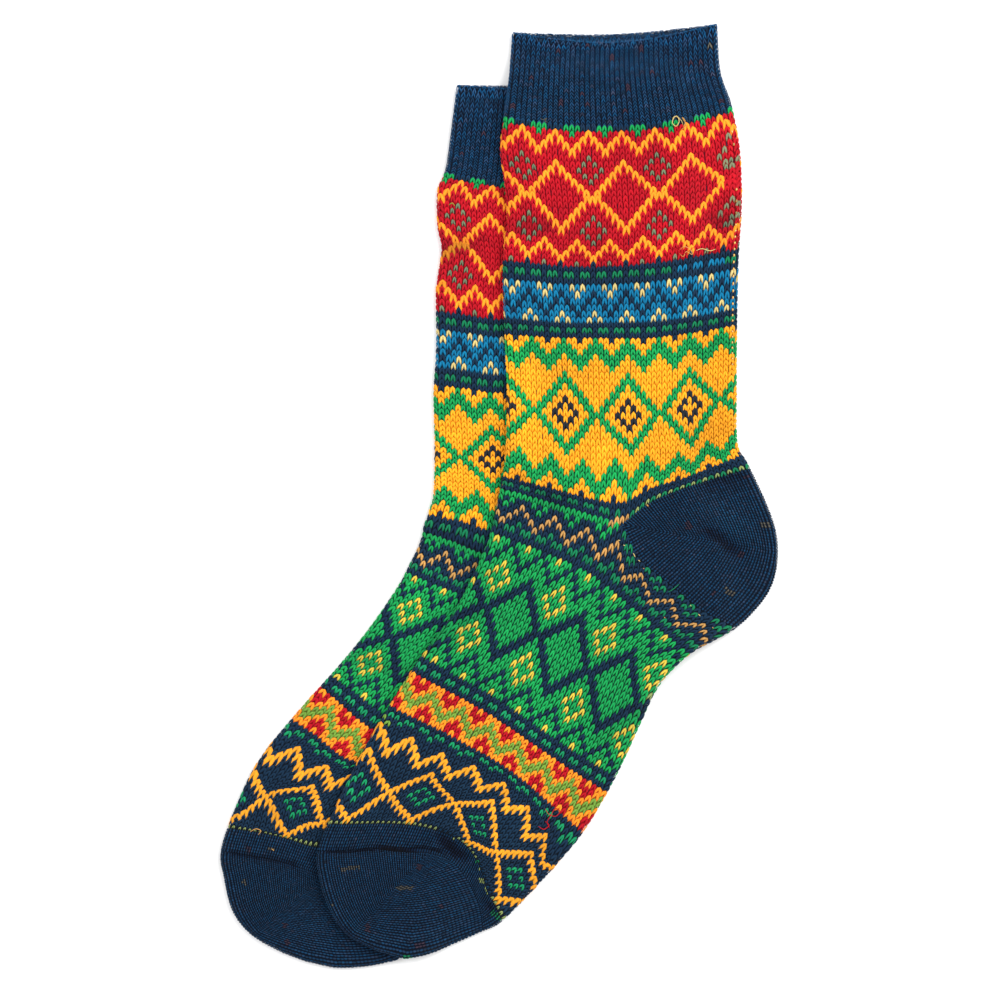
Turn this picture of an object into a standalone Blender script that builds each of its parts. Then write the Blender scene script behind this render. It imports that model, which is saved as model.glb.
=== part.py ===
"""A pair of patterned crew socks, laid flat, the right-hand one lying partly over the left-hand one.

Each sock is one knitted tube: cuff, leg, turned heel, foot and closed toe. It is a single wall that is
open at the cuff, pressed flat so that its two layers lie on each other with a little air between them.
Lengths are in millimetres until the meshes are made. X runs across the pair, Y towards the cuffs and
Z up from the surface that the socks lie on.
"""

import math
from collections import namedtuple
from functools import partial

import bmesh
import bpy
from mathutils import Vector

METRES = 0.001

WALL = 1.7  # thickness of the knitting, with the yarns that float behind the pattern
AIR = 1.0  # space between the two layers of a flattened sock
HEIGHT = 2 * WALL + AIR
FOLD_REACH = 3.4  # how far in from its outline a folded side rounds over
INNER_FOLD_REACH = 1.0
LIE_GAP = 0.4  # clearance where one sock lies on the other
SHOULDER = 2.5  # how far past the lower sock's outline the upper one keeps its full height
SLOPE = 11.0  # length of the slope from there down to the surface

PARTS_PER_STRETCH = 2  # rings made between two rows of a section table
FOLD_STEPS = 4  # edges round each folded side
LOWER_ACROSS = 5  # edges across each layer of the lower sock, which lies flat
UPPER_ACROSS = 12  # and of the upper one, which bends over it
RIM_FADE = 2  # sections over which the dip of a rim dies out
INNER_TOE_RINGS = 5  # the hollow stops this many rings short of the toe's tip

NAVY = (0.016, 0.050, 0.110, 1.0)
NAVY_DEEP = (0.014, 0.044, 0.098, 1.0)

# A section is the line across a flattened sock, from its front fold (shin, instep, big toe) to its back
# fold (calf, heel, sole). Rows run from the rim of the cuff to the tip of the toe.
Section = namedtuple("Section", "place front_x front_y back_x back_y")

UPPER_SECTIONS = (
    Section("rim", 4.4, 167.0, 78.6, 170.0),
    Section("cuff", 3.3, 152.0, 79.7, 153.5),
    Section("cuff end", 1.3, 136.5, 83.7, 141.5),
    Section("calf", 0.0, 125.0, 86.7, 126.5),
    Section("calf", 1.5, 113.5, 87.5, 111.5),
    Section("shin pinch", 2.5, 100.0, 87.2, 99.0),
    Section("leg", 1.0, 84.5, 86.3, 84.5),
    Section("leg", 1.5, 62.0, 85.8, 62.0),
    Section("leg", 2.4, 38.5, 85.7, 38.5),
    Section("ankle", 2.0, 17.5, 86.0, 19.5),
    Section("ankle", 0.5, 5.5, 89.2, 13.0),
    Section("heel top", -0.5, 1.0, 95.0, 1.0),
    Section("heel", -1.0, -2.0, 99.5, -11.0),
    Section("heel back", -1.5, -4.5, 100.5, -21.5),
    Section("heel", -2.0, -7.0, 98.7, -31.2),
    Section("heel", -2.5, -9.5, 93.5, -39.6),
    Section("heel end", -3.5, -13.0, 84.0, -48.4),
    Section("instep", -5.0, -17.5, 69.5, -56.2),
    Section("instep", -9.0, -26.5, 58.0, -67.4),
    Section("foot", -17.0, -42.0, 50.5, -83.0),
    Section("foot", -28.5, -57.5, 40.5, -104.0),
    Section("foot", -41.0, -77.0, 29.5, -122.0),
    Section("ball", -51.0, -94.5, 18.5, -135.0),
    Section("toe seam", -58.5, -110.0, 10.0, -144.0),
    Section("toe corner", -65.5, -126.5, 0.5, -153.5),
    Section("toe", -65.0, -137.0, -7.0, -157.0),
    Section("toe", -61.5, -148.0, -16.0, -161.0),
    Section("toe", -55.0, -157.5, -25.0, -164.7),
    Section("tip", -45.0, -163.2, -34.0, -166.5),
)

# How far the rim of a mouth dips in its middle, for the layer on top and for the one beneath it.
Mouth = namedtuple("Mouth", "top_layer bottom_layer")

UPPER_MOUTH = Mouth(3.8, 2.0)
LOWER_MOUTH = Mouth(1.8, 0.4)

LOWER_SECTIONS = (
    Section("rim", -15.5, 148.0, 59.0, 148.0),
    Section("cuff", -17.0, 136.5, 60.5, 136.5),
    Section("cuff end", -19.5, 118.5, 61.5, 117.5),
    Section("calf", -22.5, 110.5, 63.5, 108.5),
    Section("calf", -22.5, 97.5, 64.5, 94.0),
    Section("shin pinch", -21.0, 89.0, 64.0, 84.0),
    Section("leg", -23.0, 74.5, 63.0, 69.5),
    Section("leg", -23.0, 54.5, 62.0, 52.0),
    Section("leg", -24.0, 36.5, 61.5, 35.5),
    Section("ankle", -23.5, 17.0, 61.5, 18.5),
    Section("ankle", -24.0, 1.0, 65.0, 4.5),
    Section("heel top", -25.4, -4.0, 71.0, -10.0),
    Section("heel", -26.1, -7.0, 74.5, -22.5),
    Section("heel back", -27.0, -9.0, 76.0, -33.5),
    Section("heel", -27.6, -11.0, 74.0, -43.0),
    Section("heel", -28.2, -14.0, 69.5, -51.5),
    Section("heel end", -29.3, -17.5, 60.0, -60.0),
    Section("instep", -31.6, -22.3, 46.5, -69.0),
    Section("instep", -36.8, -32.2, 34.5, -79.0),
    Section("foot", -46.8, -46.7, 26.0, -93.0),
    Section("foot", -58.9, -61.6, 16.5, -108.5),
    Section("foot", -74.3, -78.8, 4.0, -122.0),
    Section("ball", -87.0, -95.0, -8.0, -133.0),
    Section("toe seam", -94.5, -110.0, -18.0, -142.5),
    Section("toe corner", -100.5, -127.0, -30.5, -159.0),
    Section("toe", -99.5, -137.0, -35.0, -166.0),
    Section("toe", -96.5, -149.0, -41.0, -168.0),
    Section("toe", -90.0, -157.5, -47.0, -169.2),
    Section("toe", -80.0, -163.5, -54.0, -169.8),
    Section("tip", -70.0, -167.5, -60.0, -169.8),
)


def clear_scene():
    for thing in list(bpy.data.objects):
        bpy.data.objects.remove(thing, do_unlink=True)


def knit_material(name, colour):
    material = bpy.data.materials.new(name)
    material.use_nodes = True
    shader = material.node_tree.nodes["Principled BSDF"]
    shader.inputs["Base Color"].default_value = colour
    shader.inputs["Roughness"].default_value = 0.92
    shader.inputs["Metallic"].default_value = 0.0
    return material


def smooth_between(before, start, end, after, share):
    """The Catmull-Rom curve through start and end, at this share of the way between them."""
    a = 2 * start
    b = end - before
    c = 2 * before - 5 * start + 4 * end - after
    d = 3 * start - before - 3 * end + after
    return 0.5 * (a + b * share + c * share ** 2 + d * share ** 3)


def section_lines(sections):
    """The sections and those made between them, each as the pair of its front and back points."""
    ends = [(Vector((s.front_x, s.front_y)), Vector((s.back_x, s.back_y))) for s in sections]
    last = len(ends) - 1
    lines = []
    for row in range(last):
        around = [ends[max(row - 1, 0)], ends[row], ends[row + 1], ends[min(row + 2, last)]]
        for part in range(PARTS_PER_STRETCH):
            share = part / PARTS_PER_STRETCH
            lines.append(tuple(smooth_between(*(pair[side] for pair in around), share) for side in (0, 1)))
    return lines + [ends[last]]


def outline_of(lines):
    """The flat outline as a closed run of points: down the front fold and back up the other."""
    return [line[0] for line in lines] + [line[1] for line in reversed(lines)]


def distance_outside(point, outline):
    """How far the point lies outside the outline, and zero anywhere inside it."""
    inside = False
    nearest = math.inf
    for start, end in zip(outline, outline[1:] + outline[:1]):
        if (start.y > point.y) != (end.y > point.y):
            crossing = start.x + (point.y - start.y) * (end.x - start.x) / (end.y - start.y)
            inside = inside != (point.x < crossing)
        edge = end - start
        share = (point - start).dot(edge) / max(edge.length_squared, 1e-9)
        share = min(max(share, 0.0), 1.0)
        nearest = min(nearest, (start + edge * share - point).length)
    return 0.0 if inside else nearest


def flat_on_surface(point):
    """The height of the surface that the socks lie on, the same at every point."""
    return 0.0


def height_over(point, outline):
    """How far a sock is lifted where it lies on the sock with this outline, sloping down beside it."""
    down = (distance_outside(point, outline) - SHOULDER) / SLOPE
    down = min(max(down, 0.0), 1.0)
    return (HEIGHT + LIE_GAP) * (1 - down * down * (3 - 2 * down))


def tip_share(lines, index):
    """The share of the full height that a ring has, falling off over the last fold at the toe's tip."""
    middle = (lines[index][0] + lines[index][1]) / 2
    tip = (lines[-1][0] + lines[-1][1]) / 2
    to_tip = min((middle - tip).length / (2 * FOLD_REACH), 1.0)
    return 0.62 + 0.38 * math.sqrt(1 - (1 - to_tip) ** 2)


def cross_section(width, height, inset, reach, across_steps):
    """The flattened ring in its own plane: distance along the section and height, once round.

    It is a slot shape: two straight layers joined at each side by half an ellipse. It starts at the
    middle of the back fold, runs over the upper layer to the front fold and back along the lower one.
    """
    low, high = inset, height - inset
    middle, half = (low + high) / 2, (high - low) / 2
    reach = min(reach, 0.45 * (width - 2 * inset))
    left, right = inset + reach, width - inset - reach
    points = []
    for step in range(FOLD_STEPS // 2):
        angle = math.pi * step / FOLD_STEPS
        points.append((right + reach * math.cos(angle), middle + half * math.sin(angle)))
    for step in range(across_steps + 1):
        points.append((right + (left - right) * step / across_steps, high))
    for step in range(1, FOLD_STEPS):
        angle = math.pi / 2 + math.pi * step / FOLD_STEPS
        points.append((left + reach * math.cos(angle), middle + half * math.sin(angle)))
    for step in range(across_steps + 1):
        points.append((left + (right - left) * step / across_steps, low))
    for step in range(FOLD_STEPS // 2 + 1, FOLD_STEPS):
        angle = math.pi * (1 + step / FOLD_STEPS)
        points.append((right + reach * math.cos(angle), middle + half * math.sin(angle)))
    return points


def rim_dip(mouth, along_share, on_top):
    """How far a rim point lies from its section towards the toe."""
    bow = math.sin(math.pi * min(max(along_share, 0.0), 1.0))
    return bow * (mouth.top_layer if on_top else mouth.bottom_layer)


def ring_points(lines, mouth, index, inset, reach, across_steps, lift):
    """One ring of a surface of the sock, as points in the room's frame."""
    front, back = lines[index]
    along = back - front
    width = along.length
    along = along / width
    toeward = Vector((along.y, -along.x))
    rim_share = max(0.0, 1 - index / (RIM_FADE * PARTS_PER_STRETCH))
    height = HEIGHT * tip_share(lines, index)
    points = []
    for distance, rise in cross_section(width, height, inset, reach, across_steps):
        shift = rim_share * rim_dip(mouth, distance / width, rise > height / 2)
        flat = front + along * distance + toeward * shift
        points.append(Vector((flat.x, flat.y, rise + lift(flat))))
    return points


def bridge(mesh, ring, following):
    count = len(ring)
    for side in range(count):
        beside = (side + 1) % count
        mesh.faces.new((ring[side], ring[beside], following[beside], following[side]))


def sock_wall(name, lines, mouth, across_steps, lift):
    """The sock's wall as one closed mesh: its outer surface, its inner one and the rim between them."""
    mesh = bmesh.new()
    outer = []
    inner = []
    for index in range(len(lines)):
        points = ring_points(lines, mouth, index, 0.0, FOLD_REACH, across_steps, lift)
        outer.append([mesh.verts.new(point * METRES) for point in points])
    for index in range(len(lines) - INNER_TOE_RINGS):
        points = ring_points(lines, mouth, index, WALL, INNER_FOLD_REACH, across_steps, lift)
        inner.append([mesh.verts.new(point * METRES) for point in points])
    for rings in (outer, inner):
        for ring, following in zip(rings, rings[1:]):
            bridge(mesh, ring, following)
        close_end(mesh, rings[-1])
    bridge(mesh, outer[0], inner[0])
    bmesh.ops.triangulate(mesh, faces=mesh.faces[:])
    bmesh.ops.recalc_face_normals(mesh, faces=mesh.faces[:])
    for face in mesh.faces:
        face.smooth = True
    data = bpy.data.meshes.new(name)
    mesh.to_mesh(data)
    mesh.free()
    return data


def close_end(mesh, ring):
    """Joins the last ring's two layers straight across, one face for each step."""
    count = len(ring)
    for step in range(1, count // 2 - 1):
        mesh.faces.new((ring[step], ring[step + 1], ring[count - step - 1], ring[count - step]))
    mesh.faces.new((ring[0], ring[1], ring[count - 1]))
    half = count // 2
    mesh.faces.new((ring[half - 1], ring[half], ring[half + 1]))


def add_sock(name, lines, mouth, across_steps, lift, colour, collection):
    sock = bpy.data.objects.new(name, sock_wall(name, lines, mouth, across_steps, lift))
    sock.data.materials.append(knit_material(name + "_knit", colour))
    collection.objects.link(sock)
    return sock


def centre_on_origin(socks):
    """Moves the pair so that the middle of its footprint is at the origin."""
    corners = [vertex.co for sock in socks for vertex in sock.data.vertices]
    middle_x = (min(c.x for c in corners) + max(c.x for c in corners)) / 2
    middle_y = (min(c.y for c in corners) + max(c.y for c in corners)) / 2
    for sock in socks:
        sock.location = (-middle_x, -middle_y, 0)


def main():
    clear_scene()
    collection = bpy.data.collections.new("pair_of_socks")
    bpy.context.scene.collection.children.link(collection)
    lower_lines = section_lines(LOWER_SECTIONS)
    lower_outline = outline_of(lower_lines)
    upper_lines = section_lines(UPPER_SECTIONS)
    lower = add_sock("lower_sock", lower_lines, LOWER_MOUTH, LOWER_ACROSS, flat_on_surface, NAVY_DEEP, collection)
    over_lower = partial(height_over, outline=lower_outline)
    upper = add_sock("upper_sock", upper_lines, UPPER_MOUTH, UPPER_ACROSS, over_lower, NAVY, collection)
    centre_on_origin((lower, upper))


main()
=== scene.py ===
"""A pair of patterned crew socks laid flat, the right-hand one lying partly over the left-hand one.

Each sock is a thin closed shell of cloth with its stitches on it as small raised loops of yarn. The
stitches sit on nets: a net is a grid of wales (the columns of stitches round the sock) and courses (the
rows along it) laid over the flattened tube. Lengths are in millimetres until a mesh is made. X runs
across the pair, Y towards the cuffs and Z up from the surface that the socks lie on.
"""

import math
from collections import namedtuple

import bpy
import numpy as np
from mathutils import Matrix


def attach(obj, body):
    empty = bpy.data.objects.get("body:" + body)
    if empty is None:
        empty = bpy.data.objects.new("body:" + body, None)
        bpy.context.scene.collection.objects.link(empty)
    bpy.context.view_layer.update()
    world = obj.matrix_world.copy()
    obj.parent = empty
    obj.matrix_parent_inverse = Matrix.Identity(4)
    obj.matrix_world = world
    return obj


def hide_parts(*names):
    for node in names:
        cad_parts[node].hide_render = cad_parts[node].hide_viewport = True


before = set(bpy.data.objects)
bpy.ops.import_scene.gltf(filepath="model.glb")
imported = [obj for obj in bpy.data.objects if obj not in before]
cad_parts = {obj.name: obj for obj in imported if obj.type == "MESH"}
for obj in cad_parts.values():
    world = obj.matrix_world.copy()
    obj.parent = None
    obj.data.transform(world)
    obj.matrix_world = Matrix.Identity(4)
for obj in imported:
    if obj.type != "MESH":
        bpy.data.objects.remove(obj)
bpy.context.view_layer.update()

METRE = 0.001

TWO_LAYERS = 4.4  # height of a flattened sock
HALF = TWO_LAYERS / 2
FOLD_REACH = 3.4  # how far in from its outline a folded side rounds over
LIE_GAP = 0.4  # how far apart the two socks lie
SHOULDER = 2.5  # how far past the lower sock's outline the upper one keeps its full height
SLOPE = 11.0  # how far from there it takes to come down
DEEPEST = 1.1  # how far a crease may sink the cloth, so that its two layers stay apart
SHOW_THROUGH = 0.3  # the share of a crease's depth that comes through to the layer beneath
EVEN_EDGE, CREASE_RISE = 1.5, 5.0  # no crease so near to the outline, and full depth so much further in
WAVE = 0.16  # depth of the faint waves all over the cloth
SECTION_PARTS = 6  # parts that the stretch between two sections is drawn in

ROUND = 96  # stitches in a round
FACING = 45  # of them across the layer on top; the rest lie beneath
REPEAT = 12  # stitches in a pattern repeat
# Courses, numbered from the top of the pattern; the cuff's come before it.
CUFF_START, CUFF_END = -25, -2
RIM, CUFF_MIDDLE = -25.5, -16.5
ROLL, ROLL_PITCH = 0.75, 1.0  # radius of the rolled rim, and its rows a millimetre apart
LEG_START, RED_END, LEG_END = -1, 22, 62
HEEL_COURSE = 62.5
FOOT_START, LATTICE_END, ZIGZAG_START, ZIGZAG_END, CHART_END = 63, 91, 95, 101, 123

# Pieces: how high the yarn stands on the pattern and on the fine plain parts, how many wales cross a
# pocket, and the height of its courses.
YARN_HIGH, FINE_HIGH = 0.55, 0.42
HEEL_ACROSS, TOE_ACROSS, POCKET_COURSE = 50, 46, 1.06
LINING_DEPTH, LINING_COURSES = 1.9, 6  # the courses that show inside the cuff, and how deep they lie
FLOAT_WALE, FLOAT_START, FLOAT_END, FLOAT_PROUD = FACING - 1.3, 2, 41, 0.32
CLOTH_OUTER, CLOTH_INNER = 1.0, 1.45  # depths of the cloth wall's two faces under the stitches
THREAD = 0.15  # half the thickness of a loose end

# How much stitches vary: place, size and lean in parts of a stitch, height in millimetres, tone as a share.
PLACE_VARIES, SIZE_VARIES, LEAN_VARIES, HEIGHT_VARIES, TONE_VARIES = 0.028, 0.05, 0.04, 0.03, 0.06
RIM_VARIES = 8  # times more that a stitch of the rim is out of place
BOLD = 1.45  # stoutness above which the ends of a loop draw together
HIGHEST = 0.12  # how far a stout strand may stand above the others

# A section: x and y of the front fold (shin, instep, big toe), then of the back fold (calf, heel, sole).
UPPER_SECTIONS = (
    (4.4, 167, 78.6, 170), (3.3, 152, 79.7, 153.5), (1.3, 136.5, 83.7, 141.5), (0, 125, 86.7, 126.5),
    (1.5, 113.5, 87.5, 111.5), (2.5, 100, 87.2, 99), (1, 84.5, 86.3, 84.5), (1.5, 62, 85.8, 62),
    (2.4, 38.5, 85.7, 38.5), (2, 17.5, 86, 19.5), (0.5, 5.5, 89.2, 13), (-0.5, 1, 95, 1),
    (-1, -2, 99.5, -11), (-1.5, -4.5, 100.5, -21.5), (-2, -7, 98.7, -31.2), (-2.5, -9.5, 93.5, -39.6),
    (-3.5, -13, 84, -48.4), (-5, -17.5, 69.5, -56.2), (-9, -26.5, 58, -67.4), (-17, -42, 50.5, -83),
    (-28.5, -57.5, 40.5, -104), (-41, -77, 29.5, -122), (-51, -94.5, 18.5, -135), (-58.5, -110, 10, -144),
    (-65.5, -126.5, 0.5, -153.5), (-65, -137, -7, -157), (-61.5, -148, -16, -161),
    (-55, -157.5, -25, -164.7), (-45, -163.2, -34, -166.5),
)

LOWER_SECTIONS = (
    (-15.5, 148, 59, 148), (-17, 136.5, 60.5, 136.5), (-19.5, 118.5, 61.5, 117.5),
    (-22.5, 110.5, 63.5, 108.5), (-22.5, 97.5, 64.5, 94), (-21, 89, 64, 84), (-23, 74.5, 63, 69.5),
    (-23, 54.5, 62, 52), (-24, 36.5, 61.5, 35.5), (-23.5, 17, 61.5, 18.5), (-24, 1, 65, 4.5),
    (-25.4, -4, 71, -10), (-26.1, -7, 74.5, -22.5), (-27, -9, 76, -33.5), (-27.6, -11, 74, -43),
    (-28.2, -14, 69.5, -51.5), (-29.3, -17.5, 60, -60), (-31.6, -22.3, 46.5, -69),
    (-36.8, -32.2, 34.5, -79), (-46.8, -46.7, 26, -93), (-58.9, -61.6, 16.5, -108.5),
    (-74.3, -78.8, 4, -122), (-87, -95, -8, -133), (-94.5, -110, -18, -142.5), (-100.5, -127, -30.5, -159),
    (-99.5, -137, -35, -166), (-96.5, -149, -41, -168), (-90, -157.5, -47, -169.2),
    (-80, -163.5, -54, -169.8), (-70, -167.5, -60, -169.8),
)

# A course: its number in rows from the top of the pattern, then x and y of nine places along it, from
# the front fold to the back fold. The leg ends and the foot starts on either side of the heel pocket.
UPPER_CUFF = (
    (RIM, 4.4, 167, 13.7, 165.5, 23.1, 164.3, 32.4, 163.5, 41.7, 163.5,
     50.9, 164.3, 60.2, 165.8, 69.4, 167.8, 78.6, 170),
    (CUFF_MIDDLE, 3.3, 151.5, 12.8, 151.7, 22.4, 151.9, 32, 152.1, 41.5, 152.3,
     51.1, 152.5, 60.7, 152.6, 70.2, 152.8, 79.8, 153),
    (-1, 1.2, 136, 11.6, 134.3, 22, 133, 32.5, 132.5, 42.9, 132.6,
     53.4, 133.3, 63.8, 134.8, 74, 137.2, 84.1, 140),
)
LOWER_CUFF = (
    (RIM, -15.5, 148, -6.2, 147.3, 3.2, 146.7, 12.5, 146.3, 21.8, 146.2,
     31, 146.3, 40.4, 146.7, 49.7, 147.3, 59, 148),
    (CUFF_MIDDLE, -17.6, 131.8, -7.8, 131.8, 2, 131.9, 11.7, 132.7, 21.5, 133.5,
     31.2, 134.3, 41, 134.9, 50.7, 135.7, 60.5, 136.5),
    (-1, -20.2, 116.2, -10.1, 114.2, 0.1, 112.6, 10.4, 111.7, 20.8, 111.5,
     31.1, 111.9, 41.3, 113, 51.5, 115.1, 61.5, 117.5),
)
UPPER_LEG = (
    (-1, 1.2, 136, 11.6, 134.3, 22, 133, 32.5, 132.5, 42.9, 132.6,
     53.4, 133.3, 63.8, 134.8, 74, 137.2, 84.1, 140),
    (6, 1.1, 120.5, 11.6, 118.9, 22.1, 117.7, 32.7, 117.4, 43.2, 117.7,
     53.8, 118.5, 64.3, 119.6, 74.7, 121.6, 85, 124.1),
    (12, 0.9, 107.8, 11.5, 106.3, 22.2, 105, 32.9, 104.7, 43.5, 105,
     54.2, 106.1, 64.8, 107.6, 75.3, 109.8, 85.7, 112.4),
    (18, 0.9, 94.6, 11.6, 93, 22.3, 91.7, 33.1, 91.3, 43.8, 91.7,
     54.5, 93.1, 65.2, 94.9, 75.7, 97.2, 86.2, 99.8),
    (24, 1, 82, 11.7, 81.1, 22.4, 80.1, 33.2, 79.9, 43.9, 80.3,
     54.6, 81.1, 65.3, 82.4, 75.9, 84.3, 86.4, 86.4),
    (30, 1.3, 67.9, 12.1, 66.7, 22.7, 65.8, 33.4, 65.7, 44, 65.9,
     54.7, 66.4, 65.2, 67.5, 75.7, 69.1, 86, 71.2),
    (35, 1.6, 57.7, 12.3, 56.9, 22.9, 56.3, 33.5, 56.2, 44.1, 56.1,
     54.7, 56.3, 65.1, 57.5, 75.5, 59.1, 85.8, 61.1),
    (41, 2.1, 45.9, 12.7, 44.8, 23.2, 44.3, 33.7, 43.9, 44.3, 43.7,
     54.8, 43.9, 65.2, 45.3, 75.5, 47.1, 85.6, 49.3),
    (47, 2.4, 33.2, 12.9, 31.3, 23.4, 30.3, 33.9, 29.4, 44.5, 29.1,
     55, 29.9, 65.4, 31.7, 75.6, 34.2, 85.7, 37.2),
    (53, 2.2, 20.3, 12.9, 18.1, 23.6, 16.3, 34.3, 14.6, 45.3, 15.8,
     56, 16.4, 66.3, 17.8, 75.8, 21.8, 85.3, 25.8),
    (59, 0.9, 8.4, 11.8, 5.7, 22.6, 3, 33.5, 0.4, 44.4, -0.3,
     55.2, 4.4, 66.3, 7.5, 76.8, 11.8, 87.2, 15.8),
    (62.5, 0.1, 3.3, 11, 0.4, 21.9, -2.8, 32.7, -6.1, 43.4, -9.7,
     53.8, -2.1, 65.7, 3, 78.1, 6.8, 90.5, 10.4),
)
UPPER_FOOT = (
    (62.5, 0.1, 3.3, 11, 0.4, 21.9, -2.8, 32.7, -6.1, 43.4, -9.7,
     50.4, -22.3, 61.5, -31.6, 72.7, -40.7, 85.5, -47.3),
    (69, -2.3, -9, 8, -12.7, 18.3, -16.6, 28.6, -20.9, 38.1, -26.2,
     46.4, -33.7, 54.8, -40.8, 63.3, -47.8, 71.8, -54.7),
    (76, -8.5, -25.5, 0.7, -29.1, 9.9, -32.9, 18.7, -37.3, 27, -43,
     34.8, -48.9, 42.9, -54.7, 51, -60.2, 59.2, -65.8),
    (81, -13.2, -35.3, -4.5, -39.6, 4.3, -43.8, 12.7, -48.6, 20.8, -54.4,
     28.6, -60.2, 36.6, -66, 44.7, -71.5, 52.8, -77),
    (86, -19.1, -45, -10.5, -50.2, -1.9, -55.3, 6.6, -60.6, 14.7, -66.4,
     22.8, -72.3, 30.9, -78.2, 39.2, -83.9, 47.5, -89.4),
    (91, -27.3, -56.1, -18.3, -61.3, -9.4, -66.3, -0.4, -71.4, 8.1, -77.2,
     16.5, -83.2, 25.1, -88.9, 33.8, -94.5, 42.6, -100.1),
    (96, -33.7, -65.1, -24.4, -70.1, -15.2, -74.9, -6.1, -80.1, 2.8, -85.7,
     11.4, -91.7, 20, -97.7, 28.7, -103.6, 37.5, -109.6),
    (103, -41.1, -77.2, -31.6, -81.8, -22.1, -86.4, -12.7, -91.3, -3.3, -96.1,
     5.4, -102, 13.2, -109.1, 20.5, -116.7, 27.6, -124.6),
    (106, -43.8, -81.6, -34.1, -86.2, -24.8, -91.4, -14.9, -95.4, -4.9, -99.6,
     4.1, -105.5, 11.2, -113.6, 16.6, -122.8, 20.5, -132.8),
    (110, -49.1, -90.9, -39.6, -94.9, -29.8, -98.4, -19.9, -101.8, -10.1, -105.4,
     -1.3, -111.1, 5.1, -119.3, 11, -128, 17.3, -136.3),
    (116, -55.2, -102.9, -45.4, -105.3, -35.3, -106.9, -24.9, -107.8, -14.6, -111.2,
     -7.4, -118.4, -1.6, -127.1, 4.5, -135.4, 10.5, -143.4),
    (120, -59.6, -112.2, -49.5, -113, -39.3, -113.3, -28.8, -113.5, -18.2, -115.9,
     -9.9, -122, -4.5, -131, 0.5, -140, 6.4, -147.9),
    (123.5, -62.2, -117.9, -52.1, -117.7, -41.9, -117.5, -31.7, -118.1, -21.9, -120.3,
     -13.1, -124.6, -7.4, -132.5, -3.8, -143.3, 1.2, -153.1),
)
LOWER_LEG = (
    (-1, -20.2, 116.2, -10.1, 114.2, 0.1, 112.6, 10.4, 111.7, 20.8, 111.5,
     31.1, 111.9, 41.3, 113, 51.5, 115.1, 61.5, 117.5),
    (12, -21.7, 89.9, -11.2, 88.1, -0.7, 86.6, 9.9, 86.5, 20.6, 86.9,
     31.2, 88.1, 41.8, 89.3, 52.3, 91.4, 62.7, 93.7),
    (24, -23, 64, -12.2, 62.5, -1.4, 61, 9.5, 61.6, 20.4, 62.6,
     31.2, 64.2, 41.9, 66.2, 52.6, 68.8, 63.1, 71.6),
    (35, -23.9, 39.4, -12.9, 38.1, -2, 36.6, 9.1, 37.2, 20.1, 38.4,
     31, 40.3, 41.4, 43.9, 51.7, 48, 62, 52.1),
    (47, -23.5, 15.5, -12.4, 14.2, -1.2, 13.6, 9.9, 14.9, 20.9, 17,
     31.6, 20.4, 41.8, 25.1, 51.7, 30.3, 61.5, 35.6),
    (59, -25.6, -5.3, -13.9, -7.2, -2.7, -10.7, 9.1, -11.2, 20.8, -8.9,
     31.7, -4.4, 42.6, -0.3, 52.6, 5.9, 62.7, 11.9),
    (62.5, -27.8, -12.3, -16.1, -16, -4.2, -20.3, 7.2, -22.6, 18.6, -25.2,
     28.9, -16, 41, -9.5, 53.7, -4.2, 66.4, 0.9),
)
LOWER_FOOT = (
    (62.5, -27.8, -12.3, -17.2, -15.7, -6.8, -20, 4.5, -22.3, 15.8, -24.9,
     23.8, -36.8, 35.8, -45.2, 47.9, -53.4, 61.4, -58.9),
    (69, -32.4, -24.1, -21.9, -28.6, -11, -32.5, 0, -36.2, 10.5, -41.1,
     19.6, -48.1, 28.9, -54.9, 38.3, -61.5, 47.7, -68.1),
    (76, -40.1, -37.3, -30.2, -41.6, -20.3, -45.9, -10.3, -49.8, -0.8, -55,
     8.4, -60.6, 17.5, -66.3, 26.8, -71.8, 36, -77.3),
    (86, -54.2, -56.1, -44.3, -60.8, -34.6, -66, -24.9, -71.2, -15.4, -76.7,
     -5.9, -82.2, 3.6, -87.7, 13.2, -93.2, 22.7, -98.7),
    (96, -66.6, -70.3, -58, -77.9, -49.4, -85.3, -38.6, -89, -28, -93.3,
     -17.7, -98.1, -7.4, -102.8, 3, -107.4, 13.7, -112.1),
    (103, -77.2, -82.3, -67.5, -88.1, -58.5, -95, -47.7, -98, -36.7, -100.9,
     -26.3, -105.1, -16.4, -110.8, -7.1, -117.2, 2.2, -123.8),
    (106, -81.5, -87.5, -71.1, -91.9, -61.5, -98, -50.4, -99.8, -39.3, -102.1,
     -28.9, -106.4, -19.9, -113.2, -12.1, -121.6, -6, -131.1),
    (110, -86.9, -94.9, -77.2, -100.1, -67.1, -104.8, -56.3, -106.9, -45.5, -108.9,
     -35.3, -113.1, -26.7, -120.2, -18.6, -127.7, -10, -134.8),
    (116, -94.3, -109.5, -83.6, -108.1, -73.2, -110.9, -64.4, -117.2, -53.7, -118.4,
     -44.2, -123.6, -35.5, -130.1, -26.2, -135.7, -16.9, -141.4),
    (122, -97.4, -117.2, -87.1, -119.3, -76.8, -121.6, -66.4, -123, -56, -124,
     -46.5, -128.4, -39.6, -136.3, -32.9, -144.3, -24.5, -150.8),
    (123.5, -98.2, -119.3, -87.8, -120.7, -77.6, -122.8, -67.8, -125.9, -57.4, -127.1,
     -47.9, -131.3, -41.3, -139.5, -35.3, -148, -27.7, -155.2),
)

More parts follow.
